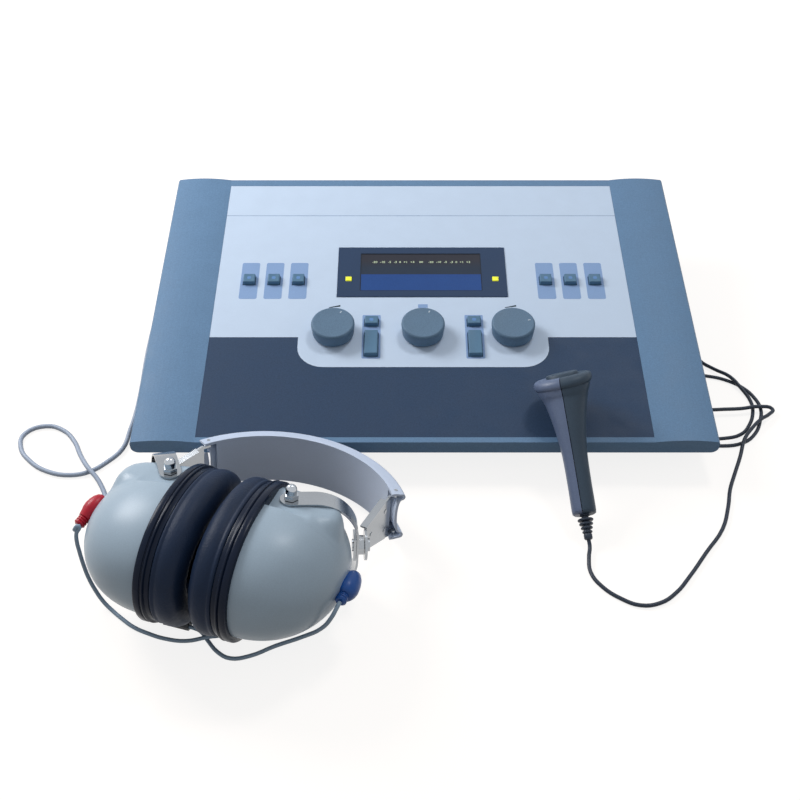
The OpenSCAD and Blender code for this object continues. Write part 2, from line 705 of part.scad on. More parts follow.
// Bracket in its own frame: pin axis at the origin, plate along +x, outer side at side * y
module bracket(i) {
  side = i == 0 ? -1 : 1;
  y0 = web_off[i] - plate_t / 2;
  bend = side > 0 ? ear_plane[i] - web_dir[i] : ear_plane[i] - 360 - web_dir[i];
  reach = web_len[i];
  in_headset() translate([pin_at[i][0], pin_at[i][1], 0]) rotate([0, 0, web_dir[i]])
    difference() {
      union() {
        for (s = [-1, 1]) {
          translate([0, 0, s > 0 ? knuckle_z0 : -knuckle_z1]) cylinder(r = knuckle_r, h = knuckle_z1 - knuckle_z0);
          translate([0, 0, s > 0 ? knuckle_z0 : -lobe_z + 0.1]) cylinder(r = pin_r, h = lobe_z - 0.1 - knuckle_z0);
          translate([0, y0, s > 0 ? knuckle_z0 : -knuckle_z1]) cube([6, plate_t, knuckle_z1 - knuckle_z0]);
          // flange on the sloping edge, turned to the inner side
          translate([5.2, y0, 0]) rotate([0, -s * flange_slope(reach), 0])
            translate([0, side > 0 ? -4.2 + plate_t : 0, s > 0 ? knuckle_z1 - plate_t : -knuckle_z1])
              cube([(reach - 9) / cos(flange_slope(reach)), 4.2, plate_t]);
        }
        translate([0, y0 + plate_t, 0]) rotate([90, 0, 0]) linear_extrude(plate_t)
          polygon([[4.4, -knuckle_z1], [5.2, -knuckle_z1], [reach - 1.2, -7.6], [reach + 0.2, -6.5],
            [reach + 0.2, 6.5], [reach - 1.2, 7.6], [5.2, knuckle_z1], [4.4, knuckle_z1]]);
        for (p = [[10, 6.5], [10, -6.5], [reach - 6, 0]])
          translate([p[0], side > 0 ? y0 + plate_t - 0.1 : y0 - 0.3, p[1]]) rotate([-90, 0, 0])
            cylinder(r = 1.3, h = 0.4);
        translate([reach, y0 + plate_t / 2, 0]) rotate([0, 0, bend])
          translate([ear_set, -plate_t / 2, 0]) rotate([-90, 0, 0]) cylinder(r = ear_dia / 2, h = plate_t);
      }
      translate([reach, y0 + plate_t / 2, 0]) rotate([0, 0, bend])
        translate([ear_set, -6, 0]) rotate([-90, 0, 0]) cylinder(r = rivet_dia / 2 + run_fit, h = 12);
    }
}
function flange_slope(reach) = -atan((knuckle_z1 - 7.6) / (reach - 6.4));

module red_side_bracket() {
  color("#c9cdd2") bracket(0);
}
module blue_side_bracket() {
  color("#c9cdd2") bracket(1);
}

// Fork in its own frame: studs' mid-point at the origin, ear along +x
strap_in = pad_z + strap_gap;
strap_out = strap_in + strap_t;
module fork(i) {
  bow_x = fork_reach - bow_r;
  bow_z = strap_out - bow_r;
  in_headset() translate([stud_at[i][0], stud_at[i][1], 0]) rotate([0, 0, fork_dir[i]]) {
    difference() {
      union() {
        translate([0, strap_w / 2, 0]) rotate([90, 0, 0]) linear_extrude(strap_w) difference() {
          bow_outline(bow_x, bow_z, 0, 0);
          bow_outline(bow_x, bow_z, strap_t, -50);
        }
        for (s = [-1, 1]) translate([0, 0, s > 0 ? strap_in : -strap_out])
          cylinder(r = strap_w / 2, h = strap_t);
      }
      translate([0, 0, -40]) cylinder(r = stud_dia / 2 + run_fit, h = 80);
      rotate([0, 90, 0]) cylinder(r = rivet_dia / 2, h = 60);
    }
    // clamp plate on the inner side, spacer outside it, and the rivet through both
    translate([fork_reach - strap_t - 1.6, 0, 0]) difference() {
      translate([0, -5, -7]) cube([1.5, 10, 14]);
      translate([-1, 0, 0]) rotate([0, 90, 0]) cylinder(r = rivet_dia / 2, h = 5);
    }
    rotate([0, 90, 0]) {
      translate([0, 0, fork_reach - strap_t - 2.2]) difference() {
        cylinder(r = 3.4, h = 0.6);
        translate([0, 0, -1]) cylinder(r = 1, h = 0.9);
      }
      translate([0, 0, fork_reach - strap_t - 1.6]) cylinder(r = rivet_dia / 2, h = ear_reach + 3.9 - fork_reach);
      translate([0, 0, fork_reach]) cylinder(r = 5.4, h = ear_reach - plate_t / 2 - 0.3 - fork_reach);
      translate([0, 0, ear_reach + plate_t / 2 + 0.3]) cylinder(r = 3.6, h = 1.4);
    }
  }
}
// Filled outline of the strap's bow, set in by drop, from x0 outward
module bow_outline(bow_x, bow_z, drop, x0) {
  for (z = [-bow_z, bow_z]) translate([bow_x, z]) circle(r = bow_r - drop, $fn = 96);
  translate([x0, -strap_out + drop]) square([bow_x - x0, 2 * (strap_out - drop)]);
  translate([x0, -bow_z]) square([fork_reach - drop - x0, 2 * bow_z]);
}
module red_side_fork() {
  color("#d4d7da") fork(0);
}
module blue_side_fork() {
  color("#d4d7da") fork(1);
}

// Cup frame: o outward from the ring's edge, mirrored for the red side
module in_cup(i) {
  in_headset() mirror([i == 0 ? 1 : 0, 0, 0]) translate([cup_x, 0, 0]) children();
}
function dome_scale(o, depth) = sqrt(max(0, 1 - pow(max(o, 0) / depth, 2.15)));
function dome_rings(a, b, depth, count, n, o0) =
  [for (k = [0:count]) let (f = sin(90 * k / count * 0.985), o = o0 + (depth - o0) * f,
      s = dome_scale(o, depth))
    [for (p = oval(a * s, b * s, 2.1, n)) [o, p[0], p[1]]]];

module pad_block() {
  hull() {
    translate([0.5, 5, -pad_z]) cube([2, 26, 2 * pad_z]);
    translate([14, 4.5, -pad_z]) cube([2, 24, 2 * pad_z]);
    translate([31, 6, -pad_z + 2.6]) cube([2.5, 13, 2 * pad_z - 5.2]);
    translate([36, 8, -18]) cube([1, 9, 36]);
  }
}

module cup_shell(i) {
  color("#b5c4cc") in_cup(i) difference() {
    union() {
      skin(dome_rings(cup_long, cup_short, dome_d, 11, 40, 0));
      pad_block();
    }
    skin(dome_rings(cup_long - shell_wall, cup_short - shell_wall, dome_d - shell_wall, 7, 32, -1));
    for (s = [-1, 1]) {
      translate([-1, 4.4, s > 0 ? pad_z : -pad_z - 10]) cube([24, 26.2, 10]);
      translate([stud_out, stud_y, s > 0 ? pad_z - 4 : -pad_z - 1]) cylinder(r = stud_dia / 2 + run_fit, h = 5);
    }
    cap_cut(i);
  }
}
module red_cup_shell() {
  cup_shell(0);
}
module blue_cup_shell() {
  cup_shell(1);
}

module pivot_nuts(i) {
  color("#dfe3e6") in_cup(i) for (s = [-1, 1]) translate([stud_out, stud_y, 0])
    mirror([0, 0, s > 0 ? 0 : 1]) {
      translate([0, 0, pad_z - 4]) cylinder(r = stud_dia / 2, h = 8);
      translate([0, 0, strap_out + strap_gap]) cylinder(r = 4.1, h = nut_h, $fn = 6);
      // the upper side has domed nuts, the side on the table has plain ones
      if (s > 0) {
        translate([0, 0, strap_out + strap_gap + nut_h]) cylinder(r = 3.1, h = 2.8);
        translate([0, 0, strap_out + strap_gap + nut_h + 2.8]) sphere(r = 3.1, $fn = 32);
      }
    }
}
module red_pivot_nuts() {
  pivot_nuts(0);
}
module blue_pivot_nuts() {
  pivot_nuts(1);
}

module oval_slab(a, b, o0, o1) {
  translate([o0, 0, 0]) rotate([90, 0, 90]) linear_extrude(o1 - o0) polygon(oval(a, b, 2.1, 56));
}

module cup_ring(i) {
  ring_a = cup_long + ring_lip;
  ring_b = cup_short + ring_lip;
  color("#1a2030") in_cup(i) difference() {
    union() {
      oval_slab(ring_a, ring_b, -ring_w * 0.62, 0);
      oval_slab(ring_a - 1.4, ring_b - 1.4, -ring_w, -ring_w * 0.62);
    }
    oval_slab(cup_long - 8, cup_short - 8, -ring_w * 0.58, 1);
    oval_slab(cup_long - 12, cup_short - 12, -ring_w - 1, 1);
  }
}
module red_cup_ring() {
  cup_ring(0);
}
module blue_cup_ring() {
  cup_ring(1);
}

cushion_d = cup_x - ring_w - cushion_gap / 2;
module cup_cushion(i) {
  out = cup_long + 2.6;
  inn = 18;
  mid_depth = -ring_w - cushion_d / 2;
  color("#1e2838") in_cup(i) ring_skin([for (k = [0:35]) let (t = 360 * k / 36, c = cos(t), s = sin(t),
      ca = sign(c) * pow(abs(c), 0.95), sa = sign(s) * pow(abs(s), 0.95),
      a_mid = (out + inn + 10) / 2, b_mid = (cup_short + 2.6 + inn) / 2,
      a_half = (out - inn - 10) / 2, b_half = (cup_short + 2.6 - inn) / 2)
    [for (j = [0:11]) let (w = 360 * (j + 0.5) / 12, cw = cos(w), sw = sin(w),
        x = sign(cw) * pow(abs(cw), 0.62), z = sign(sw) * pow(abs(sw), 0.5),
        pull = z > 0.9 ? 0.9 : 1)
      [mid_depth + z * cushion_d / 2, (a_mid + a_half * x * pull) * ca, (b_mid + b_half * x * pull) * sa]]]);
}
module red_cup_cushion() {
  cup_cushion(0);
}
module blue_cup_cushion() {
  cup_cushion(1);
}

module cup_earphone(i) {
  color("#2b3036") in_cup(i) {
    oval_slab(cup_long - 8.3, cup_short - 8.3, -ring_w * 0.58 + seat, -ring_w * 0.58 + 2.6);
    translate([-ring_w * 0.58 + 2.5, 0, 0]) rotate([0, 90, 0]) cylinder(r = 17, h = 12);
  }
}
module red_cup_earphone() {
  cup_earphone(0);
}
module blue_cup_earphone() {
  cup_earphone(1);
}

// Cord entry caps: middle and mouth in the cup frame
cap_mid = [[45.6, -3.4, 14], [47.6, -3.4, -2.3]];
cap_mouth = [[48.4, -13, 9.9], [47.2, -12.6, -2.8]];
mouth_gap = 2.1;
module cap_body(i, grow) {
  m = cap_mid[i];
  n = cap_mouth[i];
  back = m + 0.45 * (m - n);
  hull() {
    translate(m) sphere(r = 5.6 + grow, $fn = 22);
    translate(back) sphere(r = 4.4 + grow, $fn = 16);
    translate(m + 0.75 * (n - m)) sphere(r = 3.6 + grow, $fn = 16);
  }
}
module cap_cut(i) {
  cap_body(i, 0.02);
}
module entry_cap(i) {
  m = cap_mid[i];
  n = cap_mouth[i];
  in_cup(i) difference() {
    union() {
      cap_body(i, 0);
      hull() {
        translate(m + 0.7 * (n - m)) sphere(r = 3, $fn = 14);
        translate(n - 0.4 * unit(n - m)) sphere(r = 2.3, $fn = 14);
      }
    }
    skin(dome_rings(cup_long - shell_wall, cup_short - shell_wall, dome_d - shell_wall, 7, 32, -1));
  }
}
module red_entry_cap() {
  color("#b3122d") entry_cap(0);
}
module blue_entry_cap() {
  color("#2453a6") entry_cap(1);
}

// ---- Response handle, along +y of its own frame ----
// Stations: place along the handle, half width, half thickness
grip_end = relief_len + grip_len;
grip_shape = [[0, 6.7, 6.2], [0.02, 7.1, 6.6], [0.22, 7.1, 6.9], [0.42, 7.5, 7.5], [0.54, 8.5, 8.4],
  [0.6, 9.2, 8.9], [0.68, 10.4, 9.4], [0.77, 12, 9.9], [0.845, 13.9, 10.5], [0.89, 15.5, 11.2],
  [0.92, 16.3, 11.8], [0.935, 17.5, 12.9], [0.955, 17.9, 13.3], [0.975, 17.9, 13.3], [0.99, 17.5, 12.9],
  [1, 16.6, 12.2]];
function grip_rings(drop, s0, s1, n) = concat(
  [grip_ring(s0, drop, n)],
  [for (g = grip_shape) let (s = relief_len + g[0] * grip_len) if (s > s0 + 1 && s < s1 - 1) grip_ring(s, drop, n)],
  [grip_ring(s1, drop, n)]);
function grip_half(s, k) = lookup((s - relief_len) / grip_len, [for (g = grip_shape) [g[0], g[k]]]);
// The head's end leans towards the thumb; the lean fades out below the bulkhead
function lean_share(s) = min(1, max(0, (s - bulkhead_s) / 10));
function grip_ring(s, drop, n) = [for (p = oval(grip_half(s, 1) - drop, grip_half(s, 2) - drop, 2.3, n))
  [p[0], s + tan(head_lean) * p[1] * lean_share(s), -p[1]]];
module leaned() {
  multmatrix([[1, 0, 0, 0], [0, 1, -tan(head_lean), 0], [0, 0, 1, 0]]) children();
}
button_half = [9.8, 6.4];
button_travel = 2;
relief_collar = relief_len + grip_wall + 0.1;
bulkhead_s = grip_end - 19;

module grip_half_shell(side) {
  in_handle() intersection() {
    difference() {
      skin(grip_rings(0, relief_len, grip_end, 32));
      skin(grip_rings(grip_wall, relief_len + grip_wall, bulkhead_s - 2, 24));
      skin(grip_rings(grip_wall + 0.6, bulkhead_s, grip_end - 3, 24));
      translate([0, relief_len - 1, 0]) rotate([-90, 0, 0]) cylinder(r = 2.9, h = grip_wall + 3);
      leaned() translate([0, grip_end + 1, 0]) rotate([90, 0, 0]) linear_extrude(6)
        polygon(oval(button_half[0] + 0.35, button_half[1] + 0.35, 2.3, 40));
    }
    translate([side > 0 ? 0.05 : -40.05, 0, -40]) cube([40, 140, 80]);
  }
}
module handle_left_shell() {
  color("#4a5468") grip_half_shell(-1);
}
module handle_right_shell() {
  color("#3d4653") grip_half_shell(1);
}
module response_button() {
  color("#333d4c") in_handle() {
    leaned() translate([0, grip_end + button_rise, 0]) rotate([90, 0, 0]) linear_extrude(button_rise + 5)
      polygon(oval(button_half[0], button_half[1], 2.3, 40));
    leaned() translate([0, grip_end - 5, 0]) rotate([90, 0, 0]) linear_extrude(1.2)
      polygon(oval(button_half[0] + 1, button_half[1] + 0.6, 2.3, 40));
    translate([0, grip_end - 8.6, 0]) rotate([-90, 0, 0]) cylinder(r = 2, h = 4);
  }
}
module response_switch() {
  color("#17191c") in_handle() translate([0, bulkhead_s + 0.05, 0]) {
    translate([-5, 0, -3.5]) cube([10, 6.5, 7]);
    rotate([-90, 0, 0]) cylinder(r = 1.5, h = 7.6);
  }
}
module handle_strain_relief() {
  color("#252d3a") in_handle() rotate([-90, 0, 0]) {
    cylinder(r = 2.5, h = 3.4);
    cylinder(r = 2.1, h = relief_len);
    for (k = [0:3]) translate([0, 0, 3.9 + 2.4 * k]) cylinder(r = 3 + 0.55 * k, h = 1.3);
    translate([0, 0, relief_len - 2]) cylinder(r = 2.8, h = grip_wall + 2.2);
    translate([0, 0, relief_collar]) cylinder(r = 4.2, h = 2);
  }
}

// ---- Cords and what is on them ----
plug_x = [jack_x[0], jack_x[2]];
plug_len = 22;
plug_end_y = tray_y1 + 3.5 + plug_len;
module jack_plugs() {
  color("#2a2e33") in_working() for (x = plug_x) translate([x, tray_y1 + 3.5, socket_z]) rotate([-90, 0, 0]) {
    translate([0, 0, 1.5 - jack_len]) cylinder(r = 3.175, h = jack_len - 1.4);
    cylinder(r = 5.6, h = 14);
    translate([0, 0, 14]) cylinder(r1 = 4.6, r2 = 2.4, h = plug_len - 14, $fn = 32);
  }
}

splitter_dir = [cos(headset_yaw), sin(headset_yaw), 0];
splitter_side = [-sin(headset_yaw), cos(headset_yaw), 0];
splitter_mid = splitter_at + [0, 0, splitter_h / 2];
lead_in = splitter_mid - splitter_len / 2 * splitter_dir;
function cord_out(k) = splitter_mid + splitter_len / 2 * splitter_dir + k * 1.7 * splitter_side;
module lead_splitter() {
  color("#2d3440") in_working() translate(splitter_at) rotate([0, 0, headset_yaw])
    translate([-splitter_len / 2, 0, 0]) rotate([90, 0, 90]) linear_extrude(splitter_len)
      polygon([[-splitter_w / 2 + 1.2, 0], [splitter_w / 2 - 1.2, 0], [splitter_w / 2, 1],
        [splitter_w / 2, splitter_h - 1.4], [splitter_w / 2 - 1.4, splitter_h],
        [-splitter_w / 2 + 1.4, splitter_h], [-splitter_w / 2, splitter_h - 1.4], [-splitter_w / 2, 1]]);
}

lead_coil_end = lead_coil_path[len(lead_coil_path) - 1];
resp_coil_end = resp_coil_path[len(resp_coil_path) - 1];
module headset_lead() {
  color("#75808f") in_working() {
    tube(concat([[plug_x[0], plug_end_y, socket_z], [plug_x[0], plug_end_y + 6, socket_z],
      [-122.5, 287, 20.5], [-114, 300, 15.5]], [lead_coil_end - [6, 0, 0], lead_coil_end]), lead_dia, 8);
    tube(concat([lead_coil_path[0], lead_coil_path[0] - [6, 0, 0]], lead_route,
      [lead_in - 4 * splitter_dir, lead_in]), lead_dia, 8);
  }
}
module headset_lead_coil() {
  color("#75808f") in_working() tube(lead_coil_path, lead_dia, 6);
}
module response_cord() {
  color("#2e3a4a") in_working() {
    tube(concat([[plug_x[1], plug_end_y, socket_z], [plug_x[1], plug_end_y + 6, socket_z],
      [122.5, 287, 20], [112, 299, 14.5]], [resp_coil_end + [6, 0, 0], resp_coil_end]), resp_dia, 8);
    tube(concat([resp_coil_path[0], resp_coil_path[0] + [6, 0, 0]], resp_route,
      [handle_at - 4 * unit(handle_dir), handle_at]), resp_dia, 8);
  }
}
module response_cord_coil() {
  color("#2e3a4a") in_working() tube(resp_coil_path, resp_dia, 6);
}

// Point on a cap's own line, out past its mouth, in working coordinates
function from_headset(p) = let (a = [cos(headset_yaw), sin(headset_yaw), 0],
    t = [-sin(headset_yaw), cos(headset_yaw), 0], z = [0, 0, 1])
  headset_at + p[0] * a + p[1] * (t * cos(headset_lean) - z * sin(headset_lean))
    + p[2] * (z * cos(headset_lean) + t * sin(headset_lean));
function mouth(i, out) = let (m = cap_mid[i], n = cap_mouth[i], e = n + out * unit(n - m))
  from_headset([(i == 0 ? -1 : 1) * (cup_x + e[0]), e[1], e[2]]);
module red_cup_cord() {
  color("#5d7285") in_working() tube(concat([mouth(0, mouth_gap), mouth(0, 5)], red_route,
    [cord_out(1) + 3 * splitter_dir, cord_out(1)]), cup_cord_dia, 8);
}
module blue_cup_cord() {
  color("#5d7285") in_working() tube(concat([cord_out(-1), cord_out(-1) + 3 * splitter_dir],
    blue_route, [mouth(1, 5), mouth(1, mouth_gap)]), cup_cord_dia, 8);
}
echo(headset_lead_mm = path_length(lead_coil_path) + path_length(lead_route) + 130);
echo(response_cord_mm = path_length(resp_coil_path) + path_length(resp_route) + 110);

top_cover();
base_tray();
rear_panel();
upper_overlay();
lower_overlay();
display_window();
lcd_module();
indicator_lights();
main_board();
rotary_encoders();
key_switches();
power_supply();
rear_sockets();
power_rocker();
rubber_feet();
case_screws();
left_level_knob();
frequency_knob();
right_level_knob();
function_key_1();
function_key_2();
function_key_3();
function_key_4();
function_key_5();
function_key_6();
left_small_key();
right_small_key();
left_presenter_bar();
right_presenter_bar();
headband();
red_side_bracket();
blue_side_bracket();
red_side_fork();
blue_side_fork();
red_pivot_nuts();
blue_pivot_nuts();
red_cup_shell();
blue_cup_shell();
red_cup_ring();
blue_cup_ring();
red_cup_cushion();
blue_cup_cushion();
red_cup_earphone();
blue_cup_earphone();
red_entry_cap();
blue_entry_cap();
handle_left_shell();
handle_right_shell();
response_button();
response_switch();
handle_strain_relief();
jack_plugs();
lead_splitter();
headset_lead();
headset_lead_coil();
red_cup_cord();
blue_cup_cord();
response_cord();
response_cord_coil();
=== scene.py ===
"""Desktop audiometer on a plain table: sloping console, noise-excluding headset, response handle.

Local sizes are millimetres in the frame of each sub-assembly. A placing matrix turns them into
metres in the row's own frame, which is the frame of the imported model.
"""
import logging
import math
from dataclasses import dataclass, field
from enum import Enum
from typing import Callable, Iterable, Sequence

import bmesh
import bpy
from mathutils import Matrix, Vector


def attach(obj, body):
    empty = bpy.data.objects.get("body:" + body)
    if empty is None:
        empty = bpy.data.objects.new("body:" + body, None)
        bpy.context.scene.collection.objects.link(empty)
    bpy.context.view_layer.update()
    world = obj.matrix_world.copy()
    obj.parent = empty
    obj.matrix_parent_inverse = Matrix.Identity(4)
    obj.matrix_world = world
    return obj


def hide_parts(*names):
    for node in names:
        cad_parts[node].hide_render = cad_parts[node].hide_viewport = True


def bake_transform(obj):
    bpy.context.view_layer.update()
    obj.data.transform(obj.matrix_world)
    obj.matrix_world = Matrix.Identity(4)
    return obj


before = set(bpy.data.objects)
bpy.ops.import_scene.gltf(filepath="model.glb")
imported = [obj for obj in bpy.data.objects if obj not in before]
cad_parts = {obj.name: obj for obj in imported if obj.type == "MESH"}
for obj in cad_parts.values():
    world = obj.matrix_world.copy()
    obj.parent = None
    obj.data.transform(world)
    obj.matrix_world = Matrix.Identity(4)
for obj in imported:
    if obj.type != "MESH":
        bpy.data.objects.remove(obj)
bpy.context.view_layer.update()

log = logging.getLogger("audiometer")

MM = 0.001
SHIFT = Vector((6.5, -47.6, 0.0))
IMAGE_PX = 800
SHARP_DEG = 34.0

SIDES = ((-1, "left"), (1, "right"))

BMesh = bmesh.types.BMesh
Object = bpy.types.Object
Socket = bpy.types.NodeSocket
Tree = bpy.types.NodeTree
Point = tuple[float, float, float]
Shape = Callable[[float, float], Point]


# ---- Places of the sub-assemblies ----

def turned(degrees: float, axis: str) -> Matrix:
    """Gives a rotation matrix for a turn about one axis."""
    return Matrix.Rotation(math.radians(degrees), 4, axis)


def placed(at: Iterable[float], *turns: Matrix) -> Matrix:
    """Gives the matrix from local millimetres to row metres.

    Args:
        at: the local origin in the working frame, in millimetres.
        turns: rotations from outer to inner.

    Returns:
        The placing matrix.
    """
    matrix = Matrix.Scale(MM, 4) @ Matrix.Translation(SHIFT + Vector(at))
    for turn in turns:
        matrix = matrix @ turn
    return matrix


WORKING = placed((0, 0, 0))
DECK = placed((0, 0, 26), turned(7, "X"))
HEADSET = placed((-113.35, -96.35, 38.7), turned(-16.5, "Z"), turned(-12, "X"))
HANDLE_AT = Vector((95, -59.2, 4.6))
HANDLE_DIR = Vector((-0.106, 0.879, 0.465))
HANDLE = placed(HANDLE_AT, Matrix.Rotation(math.atan2(-HANDLE_DIR.x, HANDLE_DIR.y), 4, "Z"),
                Matrix.Rotation(math.asin(HANDLE_DIR.normalized().z), 4, "X"), turned(-22, "Y"))


class Side(Enum):
    """The two sides of the headset, by the colour of their entry caps."""

    RED = "red"
    BLUE = "blue"

    @property
    def cup(self) -> Matrix:
        """Placing matrix of this side's cup, with x outward from the ring's edge."""
        flip = Matrix.Diagonal((-1, 1, 1, 1)) if self is Side.RED else Matrix.Identity(4)
        return HEADSET @ flip @ Matrix.Translation((25.6, 0, 0))


# ---- Finishes ----

def linear(colour: str) -> tuple[float, float, float, float]:
    """Turns an sRGB hex value such as #c8d9ef into linear red, green, blue and alpha."""
    parts = [int(colour[i:i + 2], 16) / 255 for i in (1, 3, 5)]
    red, green, blue = (c / 12.92 if c <= 0.04045 else ((c + 0.055) / 1.055) ** 2.4 for c in parts)
    return red, green, blue, 1.0


def add_node(tree: Tree, kind: str, inputs: dict | None = None,
             **settings: object) -> bpy.types.Node:
    """Adds a node with its settings, values and links.

    Args:
        tree: the node tree to add to.
        kind: the node's type name.
        inputs: socket name or number to a value, or to an output socket to link.
        settings: attributes of the node.

    Returns:
        The new node.
    """
    node = tree.nodes.new(kind)
    for key, value in settings.items():
        setattr(node, key, value)
    for key, value in (inputs or {}).items():
        if isinstance(value, Socket):
            tree.links.new(value, node.inputs[key])
        else:
            node.inputs[key].default_value = value
    return node


def spread(tree: Tree, noise: bpy.types.Node, low: float, high: float) -> Socket:
    """Maps the middle range of a noise, where nearly all of it lies, to low and high."""
    return add_node(tree, "ShaderNodeMapRange",
                    {"Value": noise.outputs[0], "From Min": 0.3, "From Max": 0.7,
                     "To Min": low, "To Max": high}).outputs[0]


MADE: dict[str, bpy.types.Material] = {}


@dataclass(frozen=True)
class Finish:
    """A moulded, painted or printed surface, with grain in its colour, gloss and relief."""

    name: str
    colour: str
    roughness: float
    metallic: float = 0.0
    ior: float = 1.5
    tint: float = 0.05
    tint_mm: float = 14.0
    grain: float = 0.04
    grain_mm: float = 0.8
    relief_mm: float = 0.03
    gloss_spread: float = 0.06
    glow: float = 0.0
    fade: str = ""
    fade_y: tuple[float, float] = (0.0, 1.0)

    def height(self, tree: Tree, where: Socket, fine: Socket) -> Socket:
        """Gives the relief of the surface; a plain finish uses its fine grain."""
        return fine

    def faded(self, tree: Tree, where: Socket) -> Socket:
        """Gives a colour that changes into the fade colour from front to back."""
        along = add_node(tree, "ShaderNodeSeparateXYZ", {0: where})
        share = add_node(tree, "ShaderNodeMapRange",
                         {"Value": along.outputs["Y"], "From Min": self.fade_y[0],
                          "From Max": self.fade_y[1]}, interpolation_type="SMOOTHSTEP")
        mixed = add_node(tree, "ShaderNodeMix", {0: share.outputs[0]}, data_type="RGBA")
        mixed.inputs[6].default_value = linear(self.colour)
        mixed.inputs[7].default_value = linear(self.fade)
        return mixed.outputs[2]

    def material(self) -> bpy.types.Material:
        """Builds the material once and gives it back after that."""
        if self.name in MADE:
            return MADE[self.name]
        material = bpy.data.materials.new(self.name)
        material.use_nodes = True
        tree = material.node_tree
        shader = tree.nodes["Principled BSDF"]
        where = add_node(tree, "ShaderNodeTexCoord").outputs["Object"]
        broad = add_node(tree, "ShaderNodeTexNoise",
                         {"Vector": where, "Scale": 1 / (self.tint_mm * MM), "Detail": 3.0})
        fine = add_node(tree, "ShaderNodeTexNoise",
                        {"Vector": where, "Scale": 1 / (self.grain_mm * MM), "Detail": 2.0})
        wander = spread(tree, broad, 1 - self.tint, 1 + self.tint)
        speck = spread(tree, fine, 1 - self.grain, 1 + self.grain)
        share = add_node(tree, "ShaderNodeMath", {0: wander, 1: speck}, operation="MULTIPLY")
        base = linear(self.colour)
        tinted = add_node(tree, "ShaderNodeVectorMath", {0: base[:3]}, operation="SCALE")
        if self.fade:
            tree.links.new(self.faded(tree, where), tinted.inputs[0])
        tree.links.new(share.outputs[0], tinted.inputs["Scale"])
        tree.links.new(tinted.outputs[0], shader.inputs["Base Color"])
        gloss = spread(tree, broad, max(0.02, self.roughness - self.gloss_spread),
                       min(1.0, self.roughness + self.gloss_spread))
        tree.links.new(gloss, shader.inputs["Roughness"])
        bump = add_node(tree, "ShaderNodeBump",
                        {"Height": self.height(tree, where, fine.outputs[0]), "Strength": 1.0,
                         "Distance": self.relief_mm * MM})
        tree.links.new(bump.outputs[0], shader.inputs["Normal"])
        shader.inputs["Metallic"].default_value = self.metallic
        if self.metallic < 0.5:
            shader.inputs["IOR"].default_value = self.ior
        if self.glow:
            shader.inputs["Emission Color"].default_value = base
            shader.inputs["Emission Strength"].default_value = self.glow
        MADE[self.name] = material
        return material


@dataclass(frozen=True)
class Leatherette(Finish):
    """Coated fabric over foam, with pebbled skin cells and shallow creases."""

    cell_mm: float = 1.1

    def height(self, tree: Tree, where: Socket, fine: Socket) -> Socket:
        """Adds skin cells to the fine grain."""
        cells = add_node(tree, "ShaderNodeTexVoronoi",
                         {"Vector": where, "Scale": 1 / (self.cell_mm * MM)})
        both = add_node(tree, "ShaderNodeMath", {0: cells.outputs["Distance"], 1: fine},
                        operation="ADD")
        return both.outputs[0]


def ink(name: str, colour: str, tint: float = 0.05) -> Finish:
    """Gives a screen-printed ink on the films."""
    return Finish(name, colour, 0.55, ior=1.3, tint=tint, grain=0.03, relief_mm=0.02)


def sheath(name: str, colour: str) -> Finish:
    """Gives the soft sheath of a cord."""
    return Finish(name, colour, 0.42, ior=1.4, tint=0.04, tint_mm=40, grain=0.03, relief_mm=0.02)


def cap_pvc(name: str, colour: str) -> Finish:
    """Gives the glossy soft plastic of an entry cap."""
    return Finish(name, colour, 0.34, ior=1.4, tint=0.03, grain=0.02, relief_mm=0.02)


# Paint with a fine dry texture on the moulded cover; 0.9 mm specks show as a soft sparkle
COVER_PAINT = Finish("textured_blue_grey_paint", "#6889aa", 0.5, ior=1.3, tint=0.03, grain=0.08,
                     grain_mm=0.9, relief_mm=0.05)
TRAY_PAINT = Finish("powder_coated_steel", "#3f444a", 0.5, ior=1.4, grain=0.08, grain_mm=0.7,
                    relief_mm=0.06)
WHITE_FILM = Finish("printed_polyester_film_pale", "#ccddf1", 0.5, ior=1.3, tint=0.015,
                    grain=0.012, grain_mm=0.7, relief_mm=0.02)
NAVY_FILM = Finish("printed_polyester_film_navy", "#2c415c", 0.55, ior=1.3, tint=0.03,
                   grain=0.12, grain_mm=0.8, relief_mm=0.04)
PATCH_INK = ink("screen_print_blue", "#8ca9d2", 0.02)
LINE_INK = ink("screen_print_pale_line", "#93a8c4")
MARK_INK = ink("screen_print_slate", "#1c333f")
BEZEL_FILM = Finish("display_surround_film", "#263c5a", 0.45, ior=1.3, tint=0.02, grain=0.05,
                    relief_mm=0.02)
FRAME_INK = Finish("display_frame_line", "#16202e", 0.5, ior=1.3, relief_mm=0.01)
# The upper field is brownish black and turns bluer towards the lit field below it
LCD_DARK = Finish("liquid_crystal_panel_dark", "#202e40", 0.4, ior=1.3, tint=0.02, grain=0.06,
                  relief_mm=0.005, fade="#2a2b35", fade_y=(0.104, 0.115))
LCD_BLUE = Finish("liquid_crystal_panel_blue", "#1d4480", 0.4, ior=1.3, tint=0.02, grain=0.07,
                  relief_mm=0.005, glow=0.12, fade="#1f3f80", fade_y=(0.095, 0.104))
DIGIT_INK = Finish("display_scale_print", "#c3d2b0", 0.5, ior=1.3, relief_mm=0.005, glow=0.25)
LED_LENS = Finish("lit_yellow_lens", "#dfe038", 0.4, ior=1.4, relief_mm=0.01, glow=0.45)
KNOB_ABS = Finish("moulded_abs_grey_knob", "#5f7a92", 0.5, ior=1.35, tint=0.03, grain=0.12,
                  grain_mm=0.7, relief_mm=0.06)
TICK_INK = Finish("pad_print_pale_tick", "#b9c6d2", 0.5, relief_mm=0.01)
